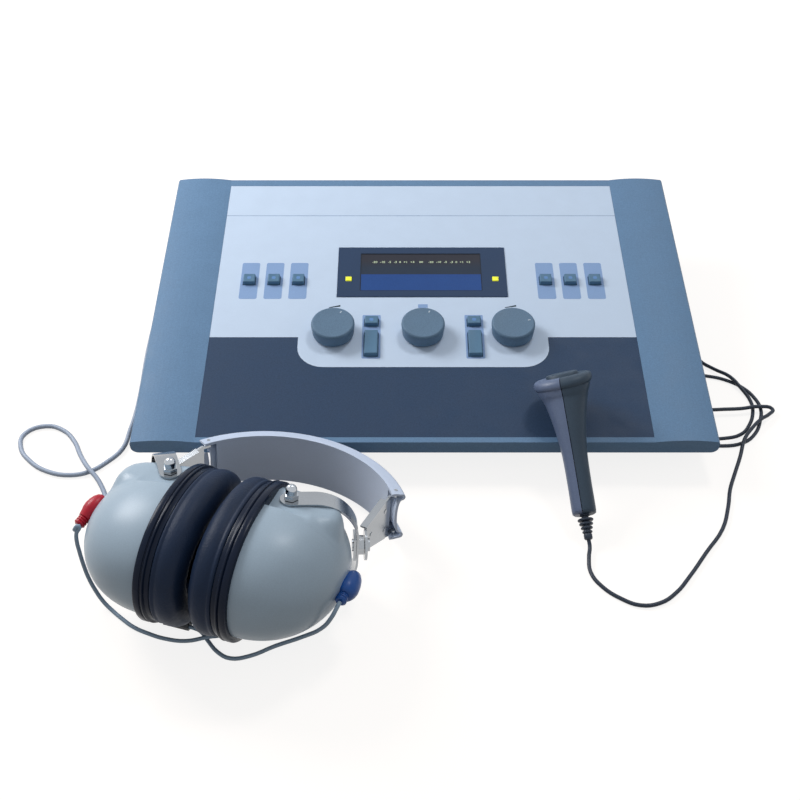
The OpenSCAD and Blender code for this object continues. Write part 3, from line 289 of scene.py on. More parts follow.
KEY_ABS = Finish("moulded_abs_slate_key", "#557a96", 0.46, ior=1.35, tint=0.03, grain=0.05,
                 grain_mm=0.6, relief_mm=0.03)
KEY_DOT = Finish("pad_print_pale_blue", "#6690c4", 0.5, ior=1.35, relief_mm=0.01)
BLACK_ABS = Finish("moulded_black_plastic", "#1d2126", 0.42, ior=1.4, grain=0.05, relief_mm=0.03)
SOLDER_MASK = Finish("green_circuit_board", "#2f6b45", 0.4, grain=0.08)
SPINDLE_METAL = Finish("zinc_die_casting", "#8b9097", 0.4, metallic=1.0, grain=0.03)
RUBBER = Finish("moulded_rubber", "#1d2023", 0.75, grain=0.08, relief_mm=0.05)
ZINC_STEEL = Finish("zinc_plated_steel", "#b9bec2", 0.32, metallic=1.0, grain=0.05)
BAND_PVC = Finish("extruded_pvc_band", "#ccd9ee", 0.34, ior=1.4, tint=0.02, grain=0.02,
                  grain_mm=0.9, relief_mm=0.02)
CUP_ABS = Finish("moulded_abs_pale_green_grey", "#a9bccb", 0.36, ior=1.4, tint=0.015, grain=0.035,
                 grain_mm=0.7, relief_mm=0.03)
RING_ABS = Finish("polished_navy_plastic_ring", "#141f33", 0.26, ior=1.22, tint=0.03, grain=0.02,
                  relief_mm=0.01)
SEAL_SKIN = Leatherette("black_leatherette_seal", "#1b2940", 0.46, ior=1.25, tint=0.06,
                        grain=0.05, relief_mm=0.08)
RED_PVC = cap_pvc("moulded_red_pvc", "#b5142c")
BLUE_PVC = cap_pvc("moulded_blue_pvc", "#14509c")
# Bright-rolled spring steel, whose rolling lines run along the strap; its grain here is even noise
# 0.5 mm across, with no direction
SPRING_STEEL = Finish("nickel_plated_spring_steel", "#a2a6aa", 0.18, metallic=1.0, tint=0.03,
                      grain=0.03, grain_mm=0.5, relief_mm=0.006, gloss_spread=0.05)
CHROME = Finish("chromium_plated_brass", "#b4b9be", 0.1, metallic=1.0, tint=0.02, grain=0.0,
                relief_mm=0.003, gloss_spread=0.03)
CORD_PVC = sheath("grey_pvc_sheath", "#a6b3c6")
CUP_CORD_PVC = sheath("blue_grey_pvc_sheath", "#92a7ba")
DARK_CORD_PVC = sheath("dark_slate_pvc_sheath", "#232f3f")
# Both half shells are one slate plastic; the left copy is painted lighter, as painted light from
# the lamp on its left
HANDLE_LIT_SIDE_ABS = Finish("moulded_abs_slate_painted_light", "#64728e", 0.36, ior=1.4, tint=0.03, grain=0.08,
                    grain_mm=0.7, relief_mm=0.05)
# Right half shell and button: the same slate plastic painted darker, as painted shade on the side
# away from the light
HANDLE_SHADED_SIDE_ABS = Finish("moulded_abs_slate_painted_shade", "#374756", 0.46, ior=1.35, tint=0.03,
                         grain=0.08, grain_mm=0.7, relief_mm=0.05)
TIE_STRAP = Finish("black_cord_tie", "#20242a", 0.7, grain=0.12, grain_mm=0.5, relief_mm=0.1)


# ---- Shaping ----

def piece_from(bm: BMesh, name: str, place: Matrix, finishes: Sequence[Finish],
               body: str | None, stands_for: Sequence[str] = (),
               sharp: float = SHARP_DEG) -> Object:
    """Makes a finished object of a bmesh that is modelled in local millimetres.

    Args:
        bm: the shape, freed here.
        name: the piece's name.
        place: matrix from local millimetres to row metres.
        finishes: materials, in the order of the faces' material numbers.
        body: body to ride on, or None where the caller sees to it.
        stands_for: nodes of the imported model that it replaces.
        sharp: edges steeper than this stay sharp, in degrees.

    Returns:
        The new object, at the origin and unturned.
    """
    bmesh.ops.transform(bm, matrix=place, verts=bm.verts)
    bmesh.ops.recalc_face_normals(bm, faces=bm.faces)
    mesh = bpy.data.meshes.new(name)
    bm.to_mesh(mesh)
    bm.free()
    mesh.shade_smooth()
    mesh.set_sharp_from_angle(angle=math.radians(sharp))
    piece = bpy.data.objects.new(name, mesh)
    bpy.context.collection.objects.link(piece)
    for finish in finishes:
        mesh.materials.append(finish.material())
    if body:
        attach(piece, body)
    if stands_for:
        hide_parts(*stands_for)
    return piece


def dress(finish: Finish, *nodes: str) -> None:
    """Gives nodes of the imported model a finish."""
    for node in nodes:
        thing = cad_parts[node]
        if not thing.material_slots:
            thing.data.materials.append(finish.material())
        for slot in thing.material_slots:
            slot.material = finish.material()


def loft(bm: BMesh, count: int, stations: Sequence[float], shape: Shape,
         joined: bool = False) -> None:
    """Extrudes a ring of points from station to station.

    Args:
        bm: the bmesh to add to.
        count: points round each ring.
        stations: numbers handed to shape, in order.
        shape: gives the place of a point from its station and its angle.
        joined: True where the last ring meets the first, False where both ends are closed.
    """
    turn = bm.verts.layers.float.new("turn")
    ring = bmesh.ops.create_circle(bm, segments=count, radius=1.0)["verts"]
    for vert in ring:
        vert[turn] = math.atan2(vert.co.y, vert.co.x)
    first = list({edge for vert in ring for edge in vert.link_edges})
    edges = first
    for k, station in enumerate(stations):
        if k:
            made = bmesh.ops.extrude_edge_only(bm, edges=edges)["geom"]
            ring = [g for g in made if isinstance(g, bmesh.types.BMVert)]
            edges = [g for g in made if isinstance(g, bmesh.types.BMEdge)
                     and all(v in set(ring) for v in g.verts)]
        for vert in ring:
            vert.co = shape(station, vert[turn])
    if joined:
        bmesh.ops.bridge_loops(bm, edges=first + edges)
    else:
        bmesh.ops.edgeloop_fill(bm, edges=first)
        bmesh.ops.edgeloop_fill(bm, edges=edges)


def turned_profile(profile: Sequence[tuple[float, float]], steps: int = 64) -> BMesh:
    """Spins a profile of radius and height once round the z axis."""
    bm = bmesh.new()
    verts = [bmesh.ops.create_vert(bm, co=(r, 0, z))["vert"][0] for r, z in profile]
    edges = [bm.edges.new(pair) for pair in zip(verts, verts[1:])]
    bmesh.ops.spin(bm, geom=verts + edges, axis=(0, 0, 1), cent=(0, 0, 0),
                   angle=2 * math.pi, steps=steps, use_merge=True)
    bmesh.ops.remove_doubles(bm, verts=bm.verts, dist=1e-4)
    return bm


@dataclass(frozen=True)
class Outline:
    """A rectangle with rounded corners: middle, size and corner radius."""

    u: float
    v: float
    w: float
    d: float
    corner: float = 0.0

    def draw(self, bm: BMesh, height: float) -> list[bmesh.types.BMEdge]:
        """Draws the outline at a height and gives its edges."""
        place = (Matrix.Translation((self.u, self.v, height))
                 @ Matrix.Diagonal((self.w, self.d, 1, 1)))
        corners = bmesh.ops.create_grid(bm, x_segments=1, y_segments=1, size=0.5,
                                        matrix=place)["verts"]
        face = corners[0].link_faces[0]
        if self.corner:
            done = bmesh.ops.bevel(bm, geom=corners, offset=self.corner, segments=6,
                                   affect="VERTICES", profile=0.5, material=-1)
            face = max((f for f in bm.faces if set(done["verts"]) & set(f.verts)),
                       key=lambda f: len(f.verts))
        edges = list(face.edges)
        bmesh.ops.delete(bm, geom=[face], context="FACES_ONLY")
        return edges


def thicken(bm: BMesh, faces: Sequence[bmesh.types.BMFace], height: float) -> None:
    """Extrudes flat faces upwards into a closed plate."""
    up = bmesh.ops.extrude_face_region(bm, geom=faces, use_keep_orig=True)["geom"]
    bmesh.ops.translate(bm, vec=(0, 0, height),
                        verts=[g for g in up if isinstance(g, bmesh.types.BMVert)])


def plate(outer: Outline, holes: Sequence[Outline], low: float, high: float) -> BMesh:
    """Gives a flat plate with holes, between two heights."""
    bm = bmesh.new()
    edges = [e for line in (outer, *holes) for e in line.draw(bm, low)]
    faces = bmesh.ops.triangle_fill(bm, use_beauty=True, edges=edges)["geom"]
    thicken(bm, [f for f in faces if isinstance(f, bmesh.types.BMFace)], high - low)
    return bm


def rounded_block(w: float, d: float, low: float, high: float, edge: float) -> BMesh:
    """Gives a block on the middle of the frame with its upper edges rounded."""
    bm = bmesh.new()
    place = Matrix.Translation((0, 0, (low + high) / 2)) @ Matrix.Diagonal((w, d, high - low, 1))
    bmesh.ops.create_cube(bm, size=1, matrix=place)
    upper = [e for e in bm.edges if max(v.co.z for v in e.verts) > high - 0.01]
    bmesh.ops.bevel(bm, geom=upper, offset=edge, segments=4, affect="EDGES", profile=0.5,
                    material=-1)
    return bm


def drawn_by(curve: bpy.types.Curve) -> BMesh:
    """Gives the mesh that a curve or a text draws."""
    drawn = bpy.data.objects.new(curve.name, curve)
    bpy.context.collection.objects.link(drawn)
    graph = bpy.context.evaluated_depsgraph_get()
    mesh = bpy.data.meshes.new_from_object(drawn.evaluated_get(graph))
    bpy.data.objects.remove(drawn)
    bm = bmesh.new()
    bm.from_mesh(mesh)
    bpy.data.meshes.remove(mesh)
    return bm


def square_oval(a: float, b: float, power: float, angle: float) -> tuple[float, float]:
    """Gives a point of an oval that is squarer than an ellipse where its power is under 1."""
    c, s = math.cos(angle), math.sin(angle)
    return a * math.copysign(abs(c) ** power, c), b * math.copysign(abs(s) ** power, s)


def smooth_step(low: float, high: float, value: float) -> float:
    """Rises smoothly from 0 to 1 between low and high."""
    t = min(1.0, max(0.0, (value - low) / (high - low)))
    return t * t * (3 - 2 * t)


def soft_max(a: float, b: float, reach: float) -> float:
    """Gives the larger of two sizes, rounded where they meet within reach."""
    h = max(reach - abs(a - b), 0) / reach
    return max(a, b) + h * h * reach / 4


def between(table: Sequence[tuple[float, ...]], place: float, column: int) -> float:
    """Reads a column of a table of stations along a smooth curve.

    Args:
        table: rows that start with the station.
        place: the station wanted.
        column: which column to read.

    Returns:
        The value on a curve through the rows.
    """
    rows = [table[0], *table, table[-1]]
    for a, b, c, d in zip(rows, rows[1:], rows[2:], rows[3:]):
        if place <= c[0] or c is table[-1]:
            span = (c[0] - b[0]) or 1.0
            t = min(1.0, max(0.0, (place - b[0]) / span))
            m0 = (c[column] - a[column]) / ((c[0] - a[0]) or 1.0) * span
            m1 = (d[column] - b[column]) / ((d[0] - b[0]) or 1.0) * span
            return ((2 * t**3 - 3 * t**2 + 1) * b[column] + (t**3 - 2 * t**2 + t) * m0
                    + (3 * t**2 - 2 * t**3) * c[column] + (t**3 - t**2) * m1)
    return table[-1][column]


# ---- Cords ----

@dataclass(frozen=True)
class Coil:
    """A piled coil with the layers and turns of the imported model."""

    centre: tuple[float, float]
    radius: float
    diameter: float
    turns: float
    low: float
    hand: int  # 1 winds anticlockwise, -1 clockwise
    layers: int = 4
    per_turn: int = 24

    @property
    def pitch_r(self) -> float:
        """Distance between turns across the coil."""
        return self.diameter + 1.05

    @property
    def pitch_z(self) -> float:
        """Distance between layers."""
        return self.diameter + 0.65

    def points(self) -> list[Vector]:
        """Gives points along the coil, from its lowest turn to its highest."""
        half = self.turns * self.pitch_r / 2
        whole = self.layers * self.turns + (self.layers - 1) * 0.5
        count = math.ceil(whole * self.per_turn)
        out = []
        for i in range(count + 1):
            w = whole * i / count
            cycle = self.turns + 0.5
            k = min(math.floor(w / cycle), self.layers - 1)
            q = w - k * cycle
            f, g = min(q / self.turns, 1), max(0.0, q - self.turns) / 0.5
            radius = self.radius + (half - 2 * half * f) * (1 if k % 2 == 0 else -1)
            angle = math.radians(-90 + self.hand * 360 * w)
            out.append(Vector((self.centre[0] + radius * math.cos(angle),
                               self.centre[1] + radius * math.sin(angle),
                               self.low + (k + g) * self.pitch_z)))
        first = Vector((self.hand, 0, 0))
        odd = math.floor(whole * 2) % 2 == 1
        last = Vector((-self.hand * (1 if odd else -1), 0, 0))
        return [out[0] - self.diameter * first, *out, out[-1] + self.diameter * last]


@dataclass
class Cords:
    """The four free cords: headset lead, response cord and the cord of each cup."""

    plug_x: tuple[float, float] = (-125, 125)
    plug_end: tuple[float, float] = (269.5, 24)
    splitter: Vector = field(default_factory=lambda: Vector((-137, -116.4, 2.5)))
    splitter_half: float = 7.5
    splitter_turn: float = -16.5
    lead_d: float = 3.0
    response_d: float = 2.4
    cup_d: float = 2.3
    lead_coil: Coil = Coil((-80, 282), 16.5, 3.0, 2.5, 1.6, 1)
    response_coil: Coil = Coil((80, 282), 13.0, 2.4, 2.75, 1.3, -1)
    cap_mouths: tuple[Point, Point] = ((48.4, -13, 9.9), (47.2, -12.6, -2.8))
    cap_middles: tuple[Point, Point] = ((45.6, -3.4, 14), (47.6, -3.4, -2.3))
    cap_shifts: tuple[Point, Point] = ((1.6, 1.2, -3.2), (1.6, 0, 0))

    LEAD = [(-150, 260, 1.6), (-182, 248, 1.6), (-190, 225, 1.6), (-190, 170, 1.6),
            (-190, 115, 1.6), (-188, 70, 1.6), (-188, 50, 1.6), (-189, 36, 1.6), (-191, 19, 1.6),
            (-199, 7, 1.6), (-208, -1, 1.6), (-219, -4, 1.6), (-234, -1, 1.6), (-247, 8, 1.6),
            (-256, 21, 1.6), (-256, 33, 1.6), (-244, 40, 1.6), (-232, 36, 1.6), (-223, 26, 1.8),
            (-216, 12, 3.2), (-209, 0, 4.9), (-200, -11, 3.4), (-192, -28, 1.6),
            (-187, -48, 1.6), (-180, -70, 1.6), (-172, -88, 1.6), (-161, -103, 1.6),
            (-152, -112, 1.6)]
    RESPONSE = [(120, 262, 1.3), (160, 257, 1.3), (184, 245, 1.3), (190, 220, 1.3),
                (190, 170, 1.3), (189, 130, 1.3), (191, 106, 1.3), (199, 95, 2.6), (207, 86, 4.1),
                (213, 76, 2.4), (217, 64, 1.3), (216, 53, 1.3), (211, 41, 1.3), (203, 31, 2.6),
                (191, 26, 4.1), (177, 26, 4.1), (164, 31, 3), (156, 43, 1.3), (154, 58, 1.3),
                (158, 73, 1.3), (168, 85, 1.3), (181, 90, 1.3), (195, 89, 1.3), (207, 84, 1.3),
                (215, 77, 1.3), (220, 68, 1.3), (222, 57, 1.3), (219, 45, 1.3), (213, 33, 1.3),
                (204, 25, 1.3), (190, 22, 1.3), (176, 25, 1.3), (167, 33, 1.3), (166, 43, 2.4),
                (176, 51, 4), (192, 53, 4.1), (208, 54, 4.1), (221, 56, 4.1), (229, 55, 2.8),
                (226, 50, 3.2), (219, 44, 4.2), (210, 34, 4.1), (204, 25, 4.1), (199, 12, 2.4),
                (192, -4, 1.3), (187, -16, 1.3), (183, -30, 1.3), (176, -48, 1.3),
                (163, -66, 1.3), (150, -84, 1.3), (140, -96, 1.3), (130, -103, 1.3),
                (119, -104.5, 1.3), (109, -100, 1.3), (99, -91, 1.3), (94, -81, 1.3),
                (94, -71, 2.4)]
    RED = [(-188.6, -88.5, 49.5), (-190.4, -89.6, 45), (-191.2, -90.2, 39), (-191, -91, 32),
           (-190, -93, 24), (-188, -96, 16), (-184.6, -99.6, 9), (-180, -103.8, 3.6),
           (-174.5, -108.3, 1.3), (-168, -114, 1.2), (-161, -119.4, 1.2), (-152, -123.8, 1.2),
           (-143, -127, 1.2), (-131, -129, 1.8), (-119, -128, 4), (-111, -125.5, 3),
           (-108, -120.5, 1.6), (-112, -116, 1.6), (-120, -115.4, 1.6)]
    BLUE = [(-124, -122.4, 1.6), (-120, -127.5, 1.3), (-113, -136, 1.2), (-106, -140, 1.4),
            (-96, -139.5, 2.6), (-81.5, -137.5, 9), (-66, -138, 18), (-56, -139.5, 27),
            (-50.5, -139, 35.5)]

    def mouth(self, side: int, out: float) -> Vector:
        """Gives a point on an entry cap's line, out past its mouth, in the working frame."""
        mouth, middle = Vector(self.cap_mouths[side]), Vector(self.cap_middles[side])
        place = (Side.RED, Side.BLUE)[side].cup
        shift = Vector(self.cap_shifts[side])
        at = place @ (mouth + shift + out * (mouth - middle).normalized())
        return at / MM - SHIFT

    def lay(self, name: str, points: Sequence[Vector], diameter: float, finish: Finish,
            nodes: Sequence[str]) -> Object:
        """Lays one cord through its points as a round tube.

        Args:
            name: the piece's name.
            points: route in the working frame, in millimetres, from the exit on.
            diameter: of the sheath, in millimetres.
            finish: the sheath's finish.
            nodes: solids that it stands for.

        Returns:
            The cord.
        """
        curve = bpy.data.curves.new(name, "CURVE")
        curve.dimensions = "3D"
        curve.resolution_u = 4
        curve.bevel_depth = diameter / 2 * MM
        curve.bevel_resolution = 3
        curve.use_fill_caps = True
        spline = curve.splines.new("BEZIER")
        spline.bezier_points.add(len(points) - 1)
        for knot, point in zip(spline.bezier_points, points):
            knot.co = (point + SHIFT) * MM
            knot.handle_left_type = knot.handle_right_type = "AUTO"
        bm = drawn_by(curve)
        bmesh.ops.remove_doubles(bm, verts=bm.verts, dist=1e-6)
        curve.bevel_depth = 0
        curve.use_fill_caps = False
        line = drawn_by(curve)
        line.free()
        cord = piece_from(bm, name, Matrix.Identity(4), [finish], None, sharp=60)
        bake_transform(cord)
        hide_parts(*nodes)
        return cord

    def tail(self, side: int, *points: Point) -> list[Vector]:
        """Gives the start of a cord at a plug, straight out and down to the coil."""
        y, z = self.plug_end
        x = self.plug_x[side]
        return [Vector((x, y, z)), Vector((x, y + 6, z)), *map(Vector, points)]

    def build(self) -> None:
        """Lays the four cords and ties the two coils."""
        angle = math.radians(self.splitter_turn)
        along = Vector((math.cos(angle), math.sin(angle), 0))
        across = Vector((-along.y, along.x, 0))
        ends = [self.splitter + self.splitter_half * along + k * 1.7 * across for k in (1, -1)]
        start = self.splitter - self.splitter_half * along
        coil = self.lead_coil.points()
        lead = [*self.tail(0, (-122.5, 287, 20.5), (-114, 300, 15.5)),
                coil[-1] - Vector((6, 0, 0)), *reversed(coil), coil[0] - Vector((6, 0, 0)),
                *map(Vector, self.LEAD), start - 4 * along, start]
        self.lay("headset_lead_sheath", lead, self.lead_d, CORD_PVC,
                 ("headset_lead", "headset_lead_coil"))
        coil = self.response_coil.points()
        response = [*self.tail(1, (122.5, 287, 20), (112, 299, 14.5)),
                    coil[-1] + Vector((6, 0, 0)), *reversed(coil), coil[0] + Vector((6, 0, 0)),
                    *map(Vector, self.RESPONSE), HANDLE_AT - 4 * HANDLE_DIR.normalized(),
                    HANDLE_AT]
        self.lay("response_cord_sheath", response, self.response_d, DARK_CORD_PVC,
                 ("response_cord", "response_cord_coil"))
        routes = (("red", [*reversed(self.RED)], ((-135, -100, 0), (-188, -100, 0))),
                  ("blue", self.BLUE, ((-110, -130, 0), (-55, -130, 0))))
        for k, (word, route, reach) in enumerate(routes):
            points = [ends[k], ends[k] + 3 * along, *map(Vector, route), self.mouth(k, 5),
                      self.mouth(k, 2.1)]
            self.lay(f"{word}_cup_cord_sheath", points, self.cup_d, CUP_CORD_PVC,
                     (f"{word}_cup_cord",))
        self.tie("lead_coil_tie", self.lead_coil)
        self.tie("response_coil_tie", self.response_coil)
        dress(BLACK_ABS, "jack_plugs", "lead_splitter")

    def tie(self, name: str, coil: Coil) -> None:
        """Wraps a narrow strap round the front of a coil."""
        bm = bmesh.new()
        stack = (coil.layers - 1) * coil.pitch_z / 2
        half_r = coil.turns * coil.pitch_r / 2 + coil.diameter / 2 + 0.9
        half_z = stack + coil.diameter / 2 + 0.6
        mid_z = coil.low + stack
        width, thick, clear = 7.0, 0.7, 0.12

        def strap(station: float, angle: float) -> Point:
            """Gives a point of the strap's section on its way round the coil."""
            side, deep = [(-1, 0), (1, 0), (1, 1), (-1, 1)][int(station)]
            grow = thick * deep
            y, z = square_oval(half_r + grow, half_z + grow, 0.35, angle)
            return side * width / 2, y, max(z, clear - mid_z + (1 - deep) * 0.3)

        loft(bm, 64, [0, 1, 2, 3], strap, joined=True)
        place = placed((coil.centre[0], coil.centre[1] + coil.radius, mid_z))
        piece_from(bm, name, place, [TIE_STRAP], "console")


# ---- Studio ----

@dataclass
class Studio:
    """Camera at the photograph's angle, plain floor and soft daylight."""

    camera_at: Point = (-8.6, -565.02, 531.99)
    pitch_down: float = 42.3185
    focal_px: float = 1189.2
    sensor_mm: float = 36.0
    sky: float = 0.32
    floor_glow: float = 0.84
    lit_at: Point = (0, 0.05, 0)

    def camera(self) -> None:
        """Creates the camera."""
        lens = bpy.data.cameras.new("camera")
        lens.sensor_width = self.sensor_mm
        lens.lens = self.focal_px / IMAGE_PX * self.sensor_mm
        eye = bpy.data.objects.new("camera", lens)
        eye.location = Vector(self.camera_at) * MM
        eye.rotation_euler = (math.radians(90 - self.pitch_down), 0, 0)
        bpy.context.collection.objects.link(eye)
        bpy.context.scene.camera = eye

    def lamp(self, name: str, at: Point, size: float, power: float, colour: str) -> None:
        """Hangs a square soft lamp that looks at the console.

        Args:
            name: the lamp's name.
            at: its place in metres.
            size: its side in metres.
            power: in watts.
            colour: of its light.
        """
        light = bpy.data.lights.new(name, "AREA")
        light.shape = "SQUARE"
        light.size = size
        light.energy = power
        light.color = linear(colour)[:3]
        lamp = bpy.data.objects.new(name, light)
        lamp.location = at
        aim = Vector(self.lit_at) - Vector(at)
        lamp.rotation_euler = aim.to_track_quat("-Z", "Y").to_euler()
        bpy.context.collection.objects.link(lamp)

    def seen(self, tree: Tree) -> Socket:
        """Gives 1 for rays of the camera and of mirrors and glass, and 0 for the rest."""
        path = add_node(tree, "ShaderNodeLightPath")
        gloss = add_node(tree, "ShaderNodeMath", {0: path.outputs["Is Camera Ray"],
                                                  1: path.outputs["Is Glossy Ray"]},
                         operation="MAXIMUM")
        clear = add_node(tree, "ShaderNodeMath", {0: gloss.outputs[0],
                                                  1: path.outputs["Is Transmission Ray"]},
                         operation="MAXIMUM")
        return clear.outputs[0]

    def floor(self) -> None:
        """Lays the pale table, which looks white and lights the object only a little."""
        bm = bmesh.new()
        bmesh.ops.create_grid(bm, x_segments=1, y_segments=1, size=4.0)
        floor = piece_from(bm, "table_top", Matrix.Identity(4), [], None)
        material = bpy.data.materials.new("matt_white_table")
        material.use_nodes = True
        tree = material.node_tree
        cloth = tree.nodes["Principled BSDF"]
        cloth.inputs["Base Color"].default_value = linear("#9a9188")
        cloth.inputs["Roughness"].default_value = 1.0
        cloth.inputs["Specular IOR Level"].default_value = 0.0
        lift = add_node(tree, "ShaderNodeMath", {0: self.seen(tree), 1: self.floor_glow},
                        operation="MULTIPLY")
        cloth.inputs["Emission Color"].default_value = (1, 1, 1, 1)
        tree.links.new(lift.outputs[0], cloth.inputs["Emission Strength"])
        floor.data.materials.append(material)

    def build(self) -> None:
        """Creates floor, lamps and sky."""
        bpy.context.scene.view_settings.view_transform = "Standard"
        self.floor()
        self.lamp("window_light", (-0.68, 0.46, 0.66), 0.4, 6.6, "#fdfdff")
        self.lamp("ceiling_light", (0.45, 0.62, 1.45), 0.3, 5.6, "#fbfcff")
        world = bpy.data.worlds.new("pale_room")
        bpy.context.scene.world = world
        world.use_nodes = True
        tree = world.node_tree
        sky = tree.nodes["Background"]
        sky.inputs["Color"].default_value = linear("#fafcff")
        level = add_node(tree, "ShaderNodeMapRange", {"Value": self.seen(tree),
                                                      "To Min": self.sky, "To Max": 1.0})
        tree.links.new(level.outputs[0], sky.inputs["Strength"])


# ---- Console ----

@dataclass
class Console:
    """Cover, films, display, knobs and keys of the console."""

    film_top: float = -0.1
    ink: float = 0.05
    knob_u: tuple[float, float, float] = (-59, 0, 59)
    knob_v: float = 92.3
    knob_turns: tuple[float, float, float] = (-28, -23, -78)
    knob_r: float = 14.25
    knob_top: float = 10.1
    key_v: float = 142
    key_u: tuple[float, ...] = (-118.3, -101.5, -84.7, 84.7, 101.5, 118.3)
    key_side: float = 8
    key_high: float = 3.0
    key_gap: float = 0.8
    small_u: float = 34
    window: Outline = Outline(0, 150.65, 116, 49.3)
    view: Outline = Outline(-0.7, 150.3, 83.6, 37.4, 0.5)
    fields: tuple[float, float, float] = (131.6, 148.2, 169)
    scale_v: float = 160.4
    led_u: float = 50.2
    led_v: float = 143.1

    # Name, place up the deck, width, depth and dot of the keys between the knobs
    SMALL = (("small_key", 102, 8.8, 7, 2.6), ("presenter_bar", 82, 8.8, 21.2, 0))
    # Places and numbers of the two level scales on the display
    SCALES = (("left", (-32.6, -27.2, -22.3, -18.3, -15.0, -11.2, -6.5)),
              ("right", (6.4, 11.8, 16.6, 20.7, 24.1, 27.8, 32.4)))
    NUMBERS = ("-20", "-10", "-5", "-3", "0", "+1", "+3")

    def build(self) -> None:
        """Builds and dresses everything that rides on the console."""
        dress(COVER_PAINT, "top_cover")
        dress(TRAY_PAINT, "base_tray", "rear_panel")
        dress(WHITE_FILM, "upper_overlay")
        dress(NAVY_FILM, "lower_overlay")
        dress(SOLDER_MASK, "main_board")
        dress(SPINDLE_METAL, "rotary_encoders", "power_supply")
        dress(BLACK_ABS, "key_switches", "rear_sockets", "power_rocker")
        dress(RUBBER, "rubber_feet")
        dress(ZINC_STEEL, "case_screws")
        self.print_film()
        self.display()
        for name, u, turn in zip(("left_level", "frequency", "right_level"), self.knob_u,
                                 self.knob_turns):
            self.knob(name + "_knob", u, turn)
        self.keys()

    def ink_plate(self, name: str, outer: Outline, finish: Finish,
                  holes: Sequence[Outline] = ()) -> None:
        """Prints a flat area on the film."""
        bm = plate(outer, holes, self.film_top, self.film_top + self.ink)
        piece_from(bm, name, DECK, [finish], "console")

    def print_film(self) -> None:
        """Prints patches behind the keys, the title line and the dial marks."""
        gap = self.key_gap
        hole = self.key_side + gap
        for i, u in enumerate(self.key_u):
            self.ink_plate(f"key_patch_{i + 1}", Outline(u, self.key_v, 12.2, 35.6, 1.4),
                           PATCH_INK, [Outline(u, self.key_v, hole, hole)])
        for side, word in SIDES:
            u = side * self.small_u
            self.ink_plate(f"{word}_presenter_patch", Outline(u, 89.15, 12.2, 39.5, 0.9),
                           PATCH_INK, [Outline(u, v, w + gap, d + gap)
                                       for _, v, w, d, _ in self.SMALL])
            self.dial_wedge(f"{word}_dial_wedge", side)
        self.ink_plate("frequency_dial_mark", Outline(0.3, 117.4, 6.5, 3.4, 0.3), PATCH_INK)
        self.ink_plate("title_line", Outline(0, 209.8, 281, 0.5), LINE_INK)

    def dial_wedge(self, name: str, side: int) -> None:
        """Prints the widening mark over a level knob."""
        bm = bmesh.new()
        start = -62.8 if side < 0 else 55.4
        corners = [(start, 115.6), (start + 7.6, 116.9), (start + 7.6, 118.4), (start, 116.2)]
        verts = [bmesh.ops.create_vert(bm, co=(u, v, self.film_top))["vert"][0]
                 for u, v in corners]
        thicken(bm, bmesh.ops.contextual_create(bm, geom=verts)["faces"], self.ink)
        piece_from(bm, name, DECK, [MARK_INK], "console")

    def display(self) -> None:
        """Builds the display surround, the panel behind it, its scale and the two lights."""
        view = self.view
        lights = [Outline(side * self.led_u, self.led_v, 4.2, 4.2) for side, _ in SIDES]
        bm = plate(self.window, [view, *lights], -0.5, 0.4)
        piece_from(bm, "display_surround", DECK, [BEZEL_FILM], "console", ["display_window"])
        inner = Outline(view.u, view.v, view.w - 1.1, view.d - 1.1, 0.3)
        piece_from(plate(view, [inner], 0.05, 0.3), "display_frame_line", DECK, [FRAME_INK],
                   "console")
        bottom, split, top = self.fields
        for word, low, high, finish in (("dark", split, top, LCD_DARK),
                                        ("blue", bottom, split, LCD_BLUE)):
            shape = Outline(view.u, (low + high) / 2, 83.5, high - low)
            piece_from(plate(shape, [], -0.5, 0.1), f"display_{word}_field", DECK, [finish],
                       "console")
        dress(LCD_BLUE, "lcd_module")
        for row, places in self.SCALES:
            for k, (u, number) in enumerate(zip(places, self.NUMBERS)):
                self.digits(f"{row}_scale_{k + 1}", number, u)
        self.digits("scale_middle_mark", "00", -0.4)
        self.lamps()

    def digits(self, name: str, number: str, u: float) -> None:
        """Sets one plain number on the display."""
        text = bpy.data.curves.new(name, "FONT")
        text.body = number
        text.size = 2.7
        text.align_x = "CENTER"
        text.align_y = "CENTER"
        text.offset = 0.03
        text.extrude = 0.02
        text.resolution_u = 2
        bm = drawn_by(text)
        bmesh.ops.translate(bm, vec=(u, self.scale_v, 0.13), verts=bm.verts)
        piece_from(bm, name, DECK, [DIGIT_INK], "console")

    def lamps(self) -> None:
        """Puts square lenses on the two indicator lights."""
        dress(LED_LENS, "indicator_lights")
        for side, word in SIDES:
            bm = rounded_block(3.9, 3.9, 0.3, 1.0, 0.35)
            bmesh.ops.translate(bm, vec=(side * self.led_u, self.led_v, 0), verts=bm.verts)
            piece_from(bm, f"{word}_indicator_lens", DECK, [LED_LENS], "console")

